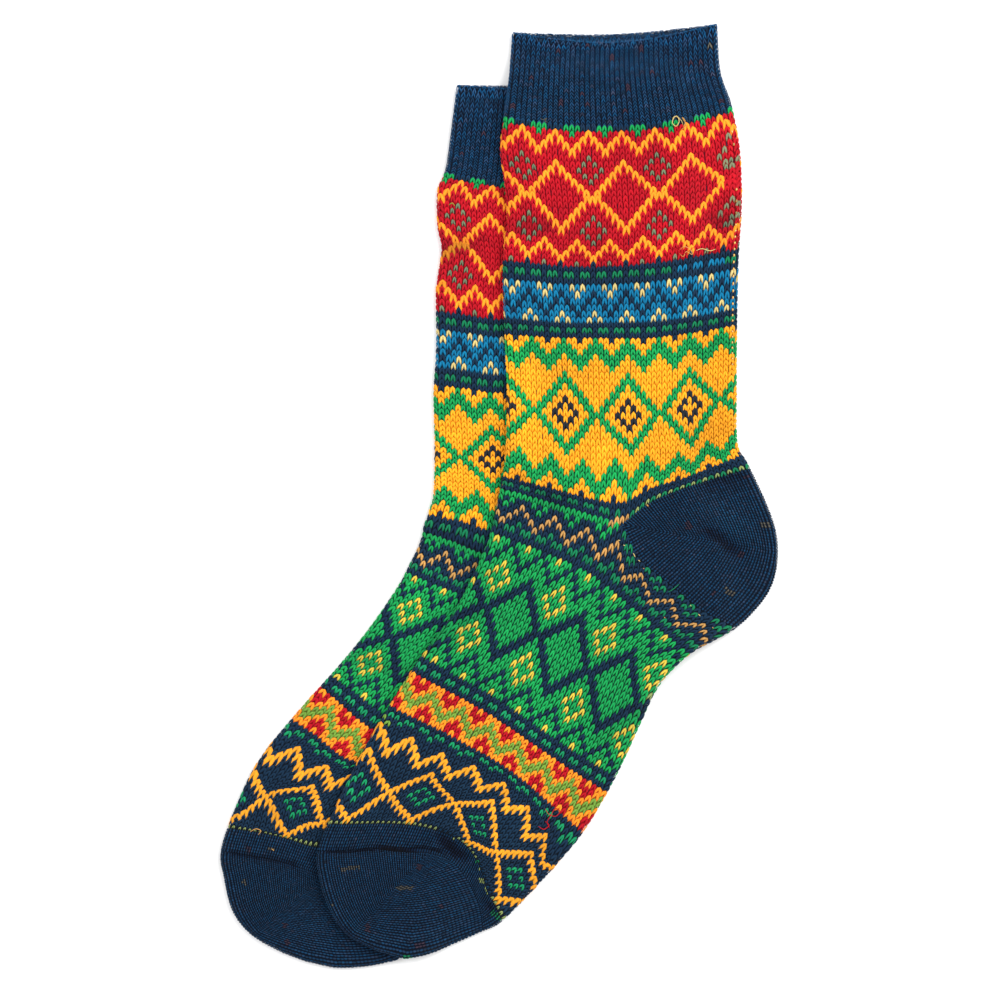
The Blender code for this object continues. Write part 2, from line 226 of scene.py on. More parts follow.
# How far the stitches lie round from their even places, in wales: the course, then the drift at the
# front fold and at the back one.
UPPER_LEG_DRIFT = ((-1, -2.3, 0.4), (12, -1.6, 0.5), (24, -1.1, 0.0), (36, -0.6, 0.0), (48, -0.4, -0.3),
                   (62, 0.2, -0.2))
UPPER_FOOT_DRIFT = ((63, -1.1, -0.7), (76, -1.2, 1.3), (86, -0.8, 2.0), (96, 0.2, 2.7), (106, 0.8, 4.1),
                    (116, 2.7, 5.4), (123, 4.0, 5.9))
LOWER_LEG_DRIFT = ((-1, -0.5, -0.2), (24, 0.1, -0.1), (48, 0.4, 0.0), (62, 0.8, 0.2))
LOWER_FOOT_DRIFT = ((63, 1.3, -1.8), (76, 0.4, -1.2), (96, -0.1, -0.5), (106, 0.3, 0.3), (116, 0.9, 1.0),
                    (123, 1.0, 1.5))

# Where the toe seam crosses the layer on top, as x and y of nine places from the front fold to the back.
UPPER_SEAM = (-65.4, -127.4, -55.6, -127.4, -45.9, -126.4, -35.8, -127.4, -25.7, -127.8,
              -17.1, -131.0, -10.6, -139.3, -7.0, -148.0, -6.0, -156.6)
LOWER_SEAM = (-100.4, -127.5, -90.5, -129.2, -80.6, -131.0, -71.5, -133.7, -63.0, -136.5,
              -55.0, -142.0, -48.0, -149.5, -43.0, -158.0, -40.0, -167.6)

# A crease: depth, width and then the x and y of points along it. A negative depth is a ridge. Besides
# shaping the cloth, the depth paints shade into the stitches down a crease and a highlight along a ridge.
Crease = namedtuple("Crease", "depth width points")

UPPER_CREASES = (
    Crease(1.9, 0.6, (-64.6, -127.6, -56, -127.6, -50, -127.2, -42, -126.3, -36, -127.2, -28, -126.6,
                      -22, -127.4, -19, -128.2)),
    Crease(3.0, 1.6, (-21.2, -122.6, -18.5, -125.4, -15.3, -128.4, -12.2, -130.0)),
    Crease(1.6, 1.3, (-5.2, -146.5, -3.2, -148.6, -1.5, -151.0)),
    Crease(-0.5, 2.6, (-23.5, -126.6, -20, -129.8, -14, -132.8)),
    Crease(1.75, 1.9, (73.5, -12.2, 78, -13.8, 82.5, -17.6, 87, -21.5)),
    Crease(-0.7, 3.0, (80, -5, 86, -11, 92, -16)),
    Crease(-0.55, 8.0, (66, -3, 76, -3, 90, -12)),
    Crease(0.5, 6.0, (68, 20, 76, 23, 84, 29)),
    Crease(0.9, 3.0, (73, 3.2, 82, 6.2, 90, 8.4)),
    Crease(0.9, 1.6, (-59, -153, -52, -160.5, -44, -164.5)),
    Crease(-0.5, 1.8, (-55, -152, -47, -159, -36, -160.5, -20, -157)),
    Crease(0.8, 2.4, (3.0, 96, 12, 98.5, 20, 98)),
    Crease(0.7, 3.2, (74, 101, 80, 100, 86, 101)),
    Crease(0.7, 3.0, (4, 9, 14, 2, 26, -3)),
    Crease(-0.35, 5.0, (2, 60, 10, 30, 12, 0)),
    Crease(0.6, 3.5, (-27, -52, -16, -47, -6, -38)),
)
LOWER_CREASES = (
    Crease(1.3, 0.8, (-99.5, -127.8, -92, -129.2, -84, -130.4, -76, -132.2, -71.5, -133.8)),
    Crease(0.9, 2.6, (-22.5, 88, -16, 91, -8, 92)),
    Crease(0.7, 2.8, (-26, -10, -18, -14, -8, -18)),
    Crease(0.6, 3.0, (-55, -56, -44, -60, -34, -62)),
)
# Stitches of another colour here and there: the yarn, how far from a line it reaches and the line's
# x and y.
Mark = namedtuple("Mark", "yarn reach points")

UPPER_MARKS = (
    Mark("R", 6.5, (82.6, 124.6, 88.4, 124.6)),
    Mark("R", 3.3, (84.1, 114.5, 88.4, 114.5)),
    Mark("R", 6.0, (82.3, 104.4, 88.4, 104.4)),
    Mark("S", 1.15, (81.9, 130.0)),
    Mark("S", 1.15, (84.8, 127.8)),
    Mark("S", 1.15, (80.8, 125.3)),
    Mark("S", 1.15, (79.0, 122.8)),
    Mark("S", 1.15, (81.5, 120.6)),
    Mark("S", 1.15, (83.3, 121.3)),
    Mark("S", 1.15, (85.9, 123.8)),
    Mark("S", 1.15, (83.7, 108.7)),
    Mark("S", 1.15, (86.2, 106.2)),
    Mark("S", 1.15, (81.5, 104.8)),
    Mark("S", 1.15, (79.4, 102.2)),
    Mark("S", 1.15, (81.5, 100.1)),
    Mark("S", 1.15, (83.3, 100.8)),
    Mark("S", 1.15, (85.9, 102.6)),
    Mark("B", 0.95, (65.3, 83.4, 67.6, 83.7)),
    Mark("B", 0.95, (71.3, 83.9, 73.6, 84.3)),
    Mark("B", 0.95, (76.0, 84.6, 78.2, 85.0)),
    Mark("B", 0.95, (80.8, 85.4)),
    Mark("P", 1.1, (-21.1, -120.2, -17.1, -122.0, -13.1, -124.9, -9.9, -128.9, -7.4, -132.8,
                    -5.2, -138.6, -3.4, -144.0, -1.3, -149.0, 1.3, -153.0)),
    Mark("rust", 0.9, (21.4, 161.3)),
    Mark("rust", 0.9, (32.2, 163.1)),
    Mark("rust", 1.0, (40.5, 159.1)),
    Mark("rust", 0.9, (51.3, 162.4)),
    Mark("rust", 0.9, (68.6, 157.7)),
    Mark("rust", 1.1, (71.8, 158)),
    Mark("tan", 1.0, (76.5, 164.9, 76.5, 163.4)),
    Mark("rust", 0.9, (12.1, 151.2)),
    Mark("rust", 0.9, (55.3, 153.4)),
    Mark("rust", 0.9, (45.9, 148)),
    Mark("rust", 0.9, (30.1, 145.4)),
    Mark("rust", 0.9, (21.1, 144, 21.8, 141.8)),
    Mark("rust", 0.9, (4.5, 141.5)),
    Mark("rust", 0.9, (32.2, 141.5)),
    Mark("rust", 0.9, (45.2, 140)),
    Mark("rust", 0.9, (80.1, 143.3)),
    Mark("rust", 1.2, (68.2, -9.4, 68.6, -11.2)),
    Mark("rust", 1.0, (87.3, -20.9)),
    Mark("rust", 1.0, (77.2, -34.6)),
    Mark("tan", 1.0, (82.3, -33.8, 84.1, -35.3)),
    Mark("tan", 0.9, (95.2, -10.4, 97.7, -10.4)),
    Mark("rust", 0.9, (89.5, 6.8)),
    Mark("T", 0.85, (41.2, -8.6, 44.1, -7.6, 47, -5.8)),
    Mark("T", 0.8, (53.5, -2.5)),
    Mark("tan", 0.7, (-56.7, -134.3, -53.8, -133.6, -50.9, -133.2)),
    Mark("rust", 1.0, (-29, -133.2)),
    Mark("tan", 0.7, (-36.2, -140.8, -31.5, -140.8)),
    Mark("tan", 0.8, (-60.3, -147.2)),
    Mark("rust", 0.9, (-20.7, -147.6)),
    Mark("rust", 1.0, (-47.3, -154.4, -47.3, -155.9)),
    Mark("rust", 1.0, (-29.3, -161.6, -26.8, -161.3)),
    Mark("K", 0.8, (-13.9, -123.1)),
    Mark("K", 0.7, (-16.4, -122.8)),
    Mark("g", 0.8, (-8.1, -131)),
    Mark("K", 0.7, (-6.7, -134.3)),
    Mark("K", 0.9, (-6.7, -138.2, -5.6, -139)),
    Mark("K", 0.9, (-4.1, -141.5, -3.8, -142.6)),
    Mark("g", 0.9, (-2.3, -150.1, -0.2, -152.3)),
    Mark("g", 0.8, (-34.4, -166.7, -32.2, -166)),
    Mark("M", 0.8, (-9.5, -29.2)),
    Mark("L", 0.8, (-16, -38.9, -17.5, -41.4)),
    Mark("M", 0.8, (-19.3, -44.6)),
    Mark("L", 0.8, (-22.5, -51.5)),
    Mark("M", 0.8, (-26.1, -55.4)),
    Mark("L", 0.8, (-34, -64.4)),
    Mark("L", 0.9, (-40.9, -77.8, -40.1, -79.9)),
    Mark("K", 0.8, (54.9, -70.2, 53.5, -72.7)),
    Mark("K", 0.8, (50.9, -81.7)),
)
LOWER_MARKS = (
    Mark("K", 0.9, (-86.6, -120.2)),
    Mark("tan", 1.0, (-81.9, -127.1)),
    Mark("tan", 0.9, (-92, -139)),
    Mark("rust", 0.9, (-89.8, -127.1)),
    Mark("rust", 1.0, (-76.5, -160.6)),
    Mark("rust", 0.8, (-77.2, -154.4)),
    Mark("rust", 0.9, (-10.6, 142.9)),
    Mark("rust", 0.9, (-6.3, 131.4)),
    Mark("rust", 0.9, (-13.1, 124.2)),
)

# Loose ends and snags: the yarn, then x, y and height above the cloth of points along each.
UPPER_THREADS = (
    ("C", (62.1, 134.3, 0, 62.5, 136.4, 0.8, 63.9, 136.8, 1.2, 64.6, 135.0, 1, 63.5, 133.2, 0.6,
           62.1, 134.6, 0.8, 63.2, 136.8, 0.9, 65.3, 135.4, 0.6, 66.1, 133.6, 0)),
    ("T", (66.1, 132.8, 0, 66.8, 135.0, 0.8, 65.7, 136.4, 0.5, 67.1, 133.6, 0.3, 65.3, 132.1, 0)),
    ("tan", (14.6, 136.2, 0, 15.7, 135.6, 0.4, 16.9, 136.1, 0.5, 16.4, 135.2, 0.4, 17.4, 134.6, 0)),
    ("T", (64.6, 88.6, 0, 66.4, 90.0, 0.8, 68.6, 88.9, 1, 69.3, 87.1, 0.7, 67.1, 88.2, 0.8,
           66.1, 86.4, 0.3, 64.6, 87.5, 0)),
    ("R", (62.1, 90.0, 0, 63.9, 88.9, 0.7, 65.7, 87.5, 0.8, 67.9, 88.2, 0.5, 70.0, 90.0, 0)),
    ("C", (70.7, 88.6, 0, 72.9, 89.3, 0.5, 75.8, 88.6, 0.4, 77.9, 89.3, 0)),
    ("R", (16.4, -112.0, 0, 17.8, -114.1, 0.9, 20.3, -114.8, 1.1, 21.8, -113.0, 0.9, 20.0, -112.0, 0.7,
           18.5, -114.5, 0.8, 17.1, -117.0, 0.6, 18.2, -119.2, 0)),
    ("R", (13.9, -118.4, 0, 16.0, -119.5, 0.6, 17.8, -118.1, 0.5, 16.4, -116.6, 0)),
    ("g", (60.7, -34.2, 0, 62.5, -33.1, 0.6, 64.6, -31.3, 0.5)),
    ("C", (42.7, -15.5, 0.1, 43.4, -15.7, 0.25)),
    ("C", (44.5, -17.3, 0.1, 45.2, -17.5, 0.25)),
    ("C", (48.1, -20.2, 0.1, 48.8, -21.6, 0.25)),
    ("C", (49.9, -22.7, 0.1, 50.6, -23.2, 0.25)),
    ("T", (51.7, -25.6, 0.1, 52.0, -25.9, 0.25)),
    ("T", (59.2, -43.2, 0.1, 59.6, -43.6, 0.25)),
    ("C", (68.6, -38.9, 0.1, 68.9, -39.2, 0.25)),
    ("T", (76.5, -46.8, 0.1, 76.9, -47.2, 0.25)),
    ("C", (71.5, -42.1, 0.1, 72.2, -42.8, 0.25)),
)
LOWER_THREADS = (
    ("T", (-89.8, -120.6, 0, -87.7, -119.5, 0.5, -85.9, -120.2, 0.5, -86.9, -121.7, 0)),
    ("T", (-81.9, -126.7, 0.1, -81.2, -127.4, 0.3)),
    ("L", (-18.2, 105.1, 0, -17.1, 105.8, 0.4, -16.0, 104.8, 0)),
)

# The pattern, one word a course from the top down. The seven letters run from the middle of one motif to
# the middle of the next; mirrored they make the repeat of twelve stitches. Course -1 comes first.
CHART = """
NNGGGNN YRRGRRY RYRRRYR RRYRYRR RRRYRRR RRRRRRS YRRRRSR RYRRSRR RRYRRSR RRRYRRS RRRRYRR RRRRRYR
RRRRRYY RRRRYRR RRRYRRR RRYRRRS RYRRRSR YRRRSRR RRRRRSR RRRYRRS RRYRYRR RYRRRYR YRRRRRY NRRSRRN
NNNNNNN NggNggN NNNNNNN
BBCBCBB NBBCBBN BNBBBNB BBNBNBB CBBNBBC BCBBBCB
NNNNNNN NggNggN NNNNNNN
GYYNYYG GGYYYGG GGGYGGG YGGGGGY YYGGGYY YYYGYYY GYYYYYY GGYYYYY YGGYYYY YYGGYYY DYYGGYY YDYYGGY
YYDYYGG
YDYYGGY DYYGGYY YYGGYYY YGGYYYY GGYYYYY GYYYYYY YYYGYYY YYGGGYY YGGGGGY GGGYGGG GGYYYGG GYYNYYG
NNNNNNN NggNggN NNNNNNN
GGGGGGG NNGNGNN TNNGNNT NTNNNTN NNTNTNN gNNTNNg NggNggN NNNNNNN
NGGMGGN GNGGGNG GGNGNGG GGGNGGM NGGGGMG NNGGMGG GNNGGMG GGNNGGM GGGNNGG GGGGNNG
GGGGGNN
GGGGNNG GGGNNGG GGNNGGM GNNGGMG NNGGMGG NGGGGMG GGGNGGM GGNGNGG GNGGGNG NGGMGGN
NNNNNNN NggNggN NNNNNNN
YYRYRYY LYRRRYL LLYRYLL YLLYLLY RYLLLYR RRYLYRR YRYYYRY
NNNNNNN NggNggN NNNgNNN NNNNNNN
YNNNNNY NYNNNYN NNYNYNN NNNYNNN
YNNNNNN NYNNNNN NNYNNNN NNNYNNN gNNNYNN NgNNNYN NNgNNNY NgNNNYN gNNNYNN NNNYNNN NNYNNNN NYNNNNN
YNNNNNN KKKKKKK
"""

# Yarn colours as the dyer's six-digit codes, and the painted shade seen in the gaps between their loops.
YARN_CODES = {
    "N": "0d263e", "R": "ae0215", "Y": "f6a119", "G": "129749", "g": "0d7549", "S": "697e5f",
    "B": "076d97", "C": "d0b973", "D": "1d1f26", "T": "c1904f", "L": "6d9838", "K": "8f9e5c",
    "M": "d6b73d", "P": "032f4e", "rust": "372733", "tan": "4e4b41",
}
GAP_SHADE_CODES = {
    "N": "06101b", "R": "8c0413", "Y": "d07d0e", "G": "042a22", "B": "032034", "C": "08273f",
    "L": "5d6b1e", "M": "052f27", "P": "020c1d", "S": "590613", "D": "0c0e13",
}


def of_yarn(code):
    """The linear colour of a six-digit code: each part c becomes ((c + 0.055) / 1.055) ** 2.4."""
    parts = np.array([int(code[at:at + 2], 16) for at in (0, 2, 4)]) / 255
    return np.where(parts > 0.04045, ((parts + 0.055) / 1.055) ** 2.4, parts / 12.92)


def through(knots, values, at):
    """The cubic curve through values at uneven knots, its slope at each knot the mean of the two beside."""
    knots, values, at = (np.asarray(thing, float) for thing in (knots, values, at))
    wide = (-1,) + (1,) * (values.ndim - 1)
    gap = np.diff(knots).reshape(wide)
    rise = np.diff(values, axis=0) / gap
    slope = np.concatenate([rise[:1], (rise[:-1] * gap[1:] + rise[1:] * gap[:-1]) / (gap[1:] + gap[:-1]),
                            rise[-1:]])
    low = np.clip(np.searchsorted(knots, at, side="right") - 1, 0, len(knots) - 2)
    step = gap[low].reshape(wide)
    s = (at.reshape(wide) - knots[low].reshape(wide)) / step
    inside = np.clip(s, 0, 1)
    past = (s - inside) * step * np.where(s < 0, slope[low], slope[low + 1])
    s = inside
    return ((2 * s ** 3 - 3 * s ** 2 + 1) * values[low] + (s ** 3 - 2 * s ** 2 + s) * step * slope[low]
            + (3 * s ** 2 - 2 * s ** 3) * values[low + 1] + (s ** 3 - s ** 2) * step * slope[low + 1] + past)


def section_lines(sections, parts):
    """The front and back folds as two runs of points: the even cubic through the sections' ends."""
    ends = np.array(sections, float)
    count = len(ends)
    padded = np.vstack([ends[:1], ends, ends[-1:]])
    start = np.repeat(np.arange(count - 1), parts)
    s = np.tile(np.arange(parts) / parts, count - 1)[:, None]
    a, b, c, d = (padded[start + offset] for offset in range(4))
    made = 0.5 * (2 * b + (c - a) * s + (2 * a - 5 * b + 4 * c - d) * s ** 2
                  + (d - a + 3 * b - 3 * c) * s ** 3)
    lines = np.vstack([made, ends[-1:]])
    return lines[:, :2], lines[:, 2:]


def nearest_on(path, points):
    """For each point the nearest place on an open run of straight lines, worked out for many at once."""
    flat = points.reshape(-1, 2)
    start, along = path[:-1], np.diff(path, axis=0)
    square = np.maximum((along ** 2).sum(1), 1e-9)
    found = np.empty_like(flat)
    for first in range(0, len(flat), 4000):
        rel = flat[first:first + 4000, None] - start
        share = np.clip((rel * along).sum(2) / square, 0, 1)
        foot = start + share[:, :, None] * along
        far = ((flat[first:first + 4000, None] - foot) ** 2).sum(2)
        found[first:first + 4000] = foot[np.arange(len(far)), far.argmin(1)]
    return found.reshape(points.shape)


def is_inside(path, points):
    """Whether each point lies within the closed outline, so that a line from it to the right crosses the
    outline an odd number of times.
    """
    flat = points.reshape(-1, 2)
    start, end = path, np.roll(path, -1, axis=0)
    x, y = flat[:, :1], flat[:, 1:]
    level = (end[:, 1] - start[:, 1]) == 0
    lean = (end[:, 0] - start[:, 0]) / np.where(level, 1, end[:, 1] - start[:, 1])
    crosses = ((start[:, 1] > y) != (end[:, 1] > y)) & (x < start[:, 0] + (y - start[:, 1]) * lean)
    return (crosses.sum(1) % 2 == 1).reshape(points.shape[:-1])


class Sock:
    """One sock's shape: its outline, the courses that cross it, and what it lies on."""

    def __init__(self, name, sections, courses, drifts, seam, creases, marks, threads, lead, dips,
                 under=None):
        self.name, self.sections, self.under, self.creases = name, sections, under, creases
        self.marks, self.threads = marks, threads
        self.lead = lead  # where the middle of the first motif lies, in wales from the front fold
        self.dips = dips  # how far the rim dips in the layer on top and in the one beneath
        front, back = section_lines(sections, SECTION_PARTS)
        self.fold = np.vstack([front, back[::-1]])
        self.cuff, self.leg, self.foot = (np.array(part) for part in courses)
        self.band = np.array([list(courses[2][-1]), [CHART_END + 8.5] + list(seam)])
        self.leg_drift, self.foot_drift = (np.array(drift) for drift in drifts)

    def marked(self, flat):
        """For each place the number of the last mark that reaches it, or -1."""
        found = np.full(flat.shape[:-1], -1)
        for number, mark in enumerate(self.marks):
            path = np.array(mark.points, float).reshape(-1, 2)
            if len(path) == 1:
                path = np.concatenate([path, path + 0.01])
            near = np.linalg.norm(flat - nearest_on(path, flat), axis=-1) < mark.reach
            found[near] = number
        return found

    def lift(self, flat):
        """How far the sock beneath lifts each point: full height over it, then with d from 0 to 1 down the
        slope beside it 1 - d ** 2 * (3 - 2 * d) of that.
        """
        if self.under is None:
            return np.zeros(flat.shape[:-1])
        away = np.linalg.norm(flat - nearest_on(np.vstack([self.under, self.under[:1]]), flat), axis=-1)
        away = np.where(is_inside(self.under, flat), 0, away)
        down = np.clip((away - SHOULDER) / SLOPE, 0, 1)
        return (TWO_LAYERS + LIE_GAP) * (1 - down * down * (3 - 2 * down))

    def dent(self, flat, widen):
        """How far the creases sink the cloth."""
        return np.minimum(self.crease(flat, widen), DEEPEST)

    # This full depth also sets the painted shade and highlight of the stitches in stitch_colours.
    def crease(self, flat, widen):
        """The full depth of the creases: each depth * exp(-(distance from its line / width) ** 2), fading at
        both ends, on a faint wave in both directions.

        Within the cloth wall every trough is wider by widen, so that the wall stays under the stitches.
        """
        depth = WAVE * np.sin(flat[..., 0] / 9.0 + flat[..., 1] / 23.0) * np.sin(flat[..., 1] / 13.0 + 1.0)
        for crease in self.creases:
            path = np.array(crease.points, float).reshape(-1, 2)
            foot = nearest_on(path, flat)
            away = np.linalg.norm(flat - foot, axis=-1) / (crease.width + widen)
            from_ends = np.minimum(np.linalg.norm(foot - path[0], axis=-1),
                                   np.linalg.norm(foot - path[-1], axis=-1))
            fade = np.clip(0.35 + from_ends / 5.0, 0, 1)
            depth = depth + crease.depth * fade * np.exp(-away ** 2)
        return depth

    def lay(self, flat, facing, widen=0.0):
        """Flat places on the sock to places on its surface.

        Within the fold's reach of the outline the cloth rounds over: the distance d from the outline
        becomes reach * (1 - cos a) and the height half * (1 + facing * sin a), with
        a = 90 degrees * d / reach. The creases begin a little way in from the outline and come through
        faintly to the layer beneath.
        """
        foot = nearest_on(self.fold, flat)
        away = flat - foot
        distance = np.linalg.norm(away, axis=-1)
        distance = np.where(is_inside(self.fold, flat), distance, 0)
        angle = math.pi / 2 * np.clip(distance / FOLD_REACH, 0, 1)
        rounded = FOLD_REACH * (1 - np.cos(angle)) / np.maximum(distance, 1e-6)
        share = np.where(distance < FOLD_REACH, rounded, 1)
        share = np.where(distance > 0, share, 0)
        flat = foot + away * share[..., None]
        inner = np.clip((distance - EVEN_EDGE) / CREASE_RISE, 0, 1)
        share = np.where(facing > 0, 1.0, SHOW_THROUGH)
        height = HALF + facing * (HALF * np.sin(angle) - self.dent(flat, widen) * inner * share)
        return np.concatenate([flat, (height + self.lift(flat))[..., None]], -1)

    def across(self, courses, at, shares):
        """Flat places at course numbers and shares of the way from the front fold to the back one.

        Both ends of a course are drawn out to the outline: place + (1 - share) ** 3 * (gap at the front)
        + share ** 3 * (gap at the back).
        """
        stations = courses[:, 1:].reshape(len(courses), -1, 2)
        rows = through(courses[:, 0], stations, at)
        even = np.linspace(0, 1, stations.shape[1])
        flat = np.swapaxes(through(even, np.swapaxes(rows, 0, 1), shares), 0, 1)
        front, back = (nearest_on(self.fold, rows[:, side]) - rows[:, side] for side in (0, -1))
        weight = np.asarray(shares)[None, :, None]
        return flat + (1 - weight) ** 3 * front[:, None] + weight ** 3 * back[:, None]


class Net:
    """A grid of places on a sock's surface, with the way out of the cloth at each, read between nodes."""

    def __init__(self, places, wales, courses, turned=False):
        self.places, self.wales, self.courses = places, wales, courses
        along = np.gradient(places, axis=0)
        across = np.gradient(places, axis=1)
        outward = np.cross(along, across) * (-1 if turned else 1)
        self.outward = outward / np.maximum(np.linalg.norm(outward, axis=-1, keepdims=True), 1e-9)

    def at(self, wale, course):
        """Place and way out at each wale and course, weighing the four nodes around it."""
        column = (wale - self.wales[0]) / (self.wales[1] - self.wales[0])
        row = (course - self.courses[0]) / (self.courses[1] - self.courses[0])
        column = np.clip(column, 0, len(self.wales) - 1.001)
        row = np.clip(row, 0, len(self.courses) - 1.001)
        i, j = row.astype(int), column.astype(int)
        v, u = (row - i)[..., None], (column - j)[..., None]
        found = []
        for grid in (self.places, self.outward):
            found.append((grid[i, j] * (1 - u) + grid[i, j + 1] * u) * (1 - v)
                         + (grid[i + 1, j] * (1 - u) + grid[i + 1, j + 1] * u) * v)
        way = found[1]
        return found[0], way / np.maximum(np.linalg.norm(way, axis=-1, keepdims=True), 1e-9)


def tube_net(sock, courses, first, last):
    """The net once round the sock: wale 0 on the front fold, over the top layer, and back beneath.

    The columns run on for three wales past both ends, so that a stitch on the front fold is whole. At the
    rim the layer beneath stands higher than the one on top, by sin(180 degrees * share) * the difference
    between the two dips.
    """
    at = np.arange(first, last + 0.01, 0.5)
    wales = np.arange(-3, ROUND + 3.01, 1 / 3)
    turn = np.mod(wales, ROUND)
    share = way_across(wales)
    flat = sock.across(courses, np.maximum(at, RIM), share)
    near_rim = np.clip((CUFF_MIDDLE - at) / (CUFF_MIDDLE - RIM), 0, 1)[:, None]
    higher = near_rim * np.sin(math.pi * share) * (sock.dips[0] - sock.dips[1])
    flat[..., 1] += np.where(turn <= FACING, 0, higher)
    places = sock.lay(flat, np.where(turn <= FACING, 1.0, -1.0))
    if at[0] < RIM:
        roll_in(places, at)
    return Net(places, wales, at)


def way_across(wales):
    """How far across the flattened tube each wale lies: 0 at the front fold and 1 at the back one."""
    turn = np.mod(wales, ROUND)
    return np.clip(np.where(turn <= FACING, turn / FACING, 1 - (turn - FACING) / (ROUND - FACING)), 0, 1)


def roll_in(places, at):
    """Turns the rows before the rim over its edge: a = distance past the rim / radius, and the place is
    the rim + radius * (sin a * onward - (1 - cos a) * outward).
    """
    rim = int(np.searchsorted(at, RIM))
    outward = np.cross(np.gradient(places[rim:], axis=0)[1], np.gradient(places[rim], axis=0))
    onward = places[rim] - places[rim + 2]
    outward, onward = (way / np.linalg.norm(way, axis=-1, keepdims=True) for way in (outward, onward))
    turn = ((RIM - at[:rim]) * ROLL_PITCH / ROLL)[:, None, None]
    places[:rim] = places[rim] + ROLL * (np.sin(turn) * onward - (1 - np.cos(turn)) * outward)


def along_path(path, count, power=1.0):
    """Count places along a run of points, the n-th at (n / last) ** power of its length."""
    run = np.concatenate([[0], np.cumsum(np.linalg.norm(np.diff(path, axis=0), axis=1))])
    even = np.linspace(0, 1, count) ** power * run[-1]
    return np.stack([np.interp(even, run, path[:, axis]) for axis in (0, 1)], 1)


def fold_between(sock, start, end):
    """The stretch of the outline from the place nearest to start to the one nearest to end."""
    first = np.linalg.norm(sock.fold - start, axis=1).argmin()
    last = np.linalg.norm(sock.fold - end, axis=1).argmin()
    step = 1 if last > first else -1
    run = sock.fold[np.arange(first, last + step, step)]
    run[0], run[-1] = start, end
    return run


def pocket_net(sock, one_side, other_side, edge, lean, facing):
    """The net of a pocket whose two sides start at one corner, its far edge on the outline.

    Each wale f runs from one_side(f) straight to the gore, the line from the corner to a place on the edge,
    reached at f ** 0.8 of it, and on to other_side(f). Last, f ** 3 times what is left at f = 1 draws the
    outer wales out to the edge. With lean above 1 the gore ends nearer to the edge's start.
    """
    f = np.linspace(0, 1, 76)
    v = np.linspace(0, 1, 91)
    one, other = (through(np.linspace(0, 1, len(side)), side, f) for side in (one_side, other_side))
    rim = along_path(edge, len(v), lean)
    corner = (one[0] + other[0]) / 2
    gore = corner + (f ** 0.8)[:, None] * (rim[45] - corner)
    part = v[:, None, None]
    flat = np.where(part < 0.5, one + 2 * part * (gore - one), other + 2 * (1 - part) * (gore - other))
    flat = flat + (f ** 3)[None, :, None] * (rim[:, None] - flat[:, -1:])
    way = np.cross(flat[1, 40] - flat[0, 40], flat[0, 41] - flat[0, 40])
    return Net(sock.lay(flat, np.full(flat.shape[:2], facing)), f, v, way * facing < 0)


# A stitch pattern: the places of one stitch's points across the wale (s), along the course (t) and out of
# the cloth (h), its faces, the flat layout of their corners in a unit square, how far along the yarn and
# across it each point lies, the number of the dark plate's first point, a plate of painted shade between
# the loops, and for each point its share of the gap's painted shade and its painted brightness.
Loop = namedtuple("Loop", "s t h faces corners twist plate mix bright")


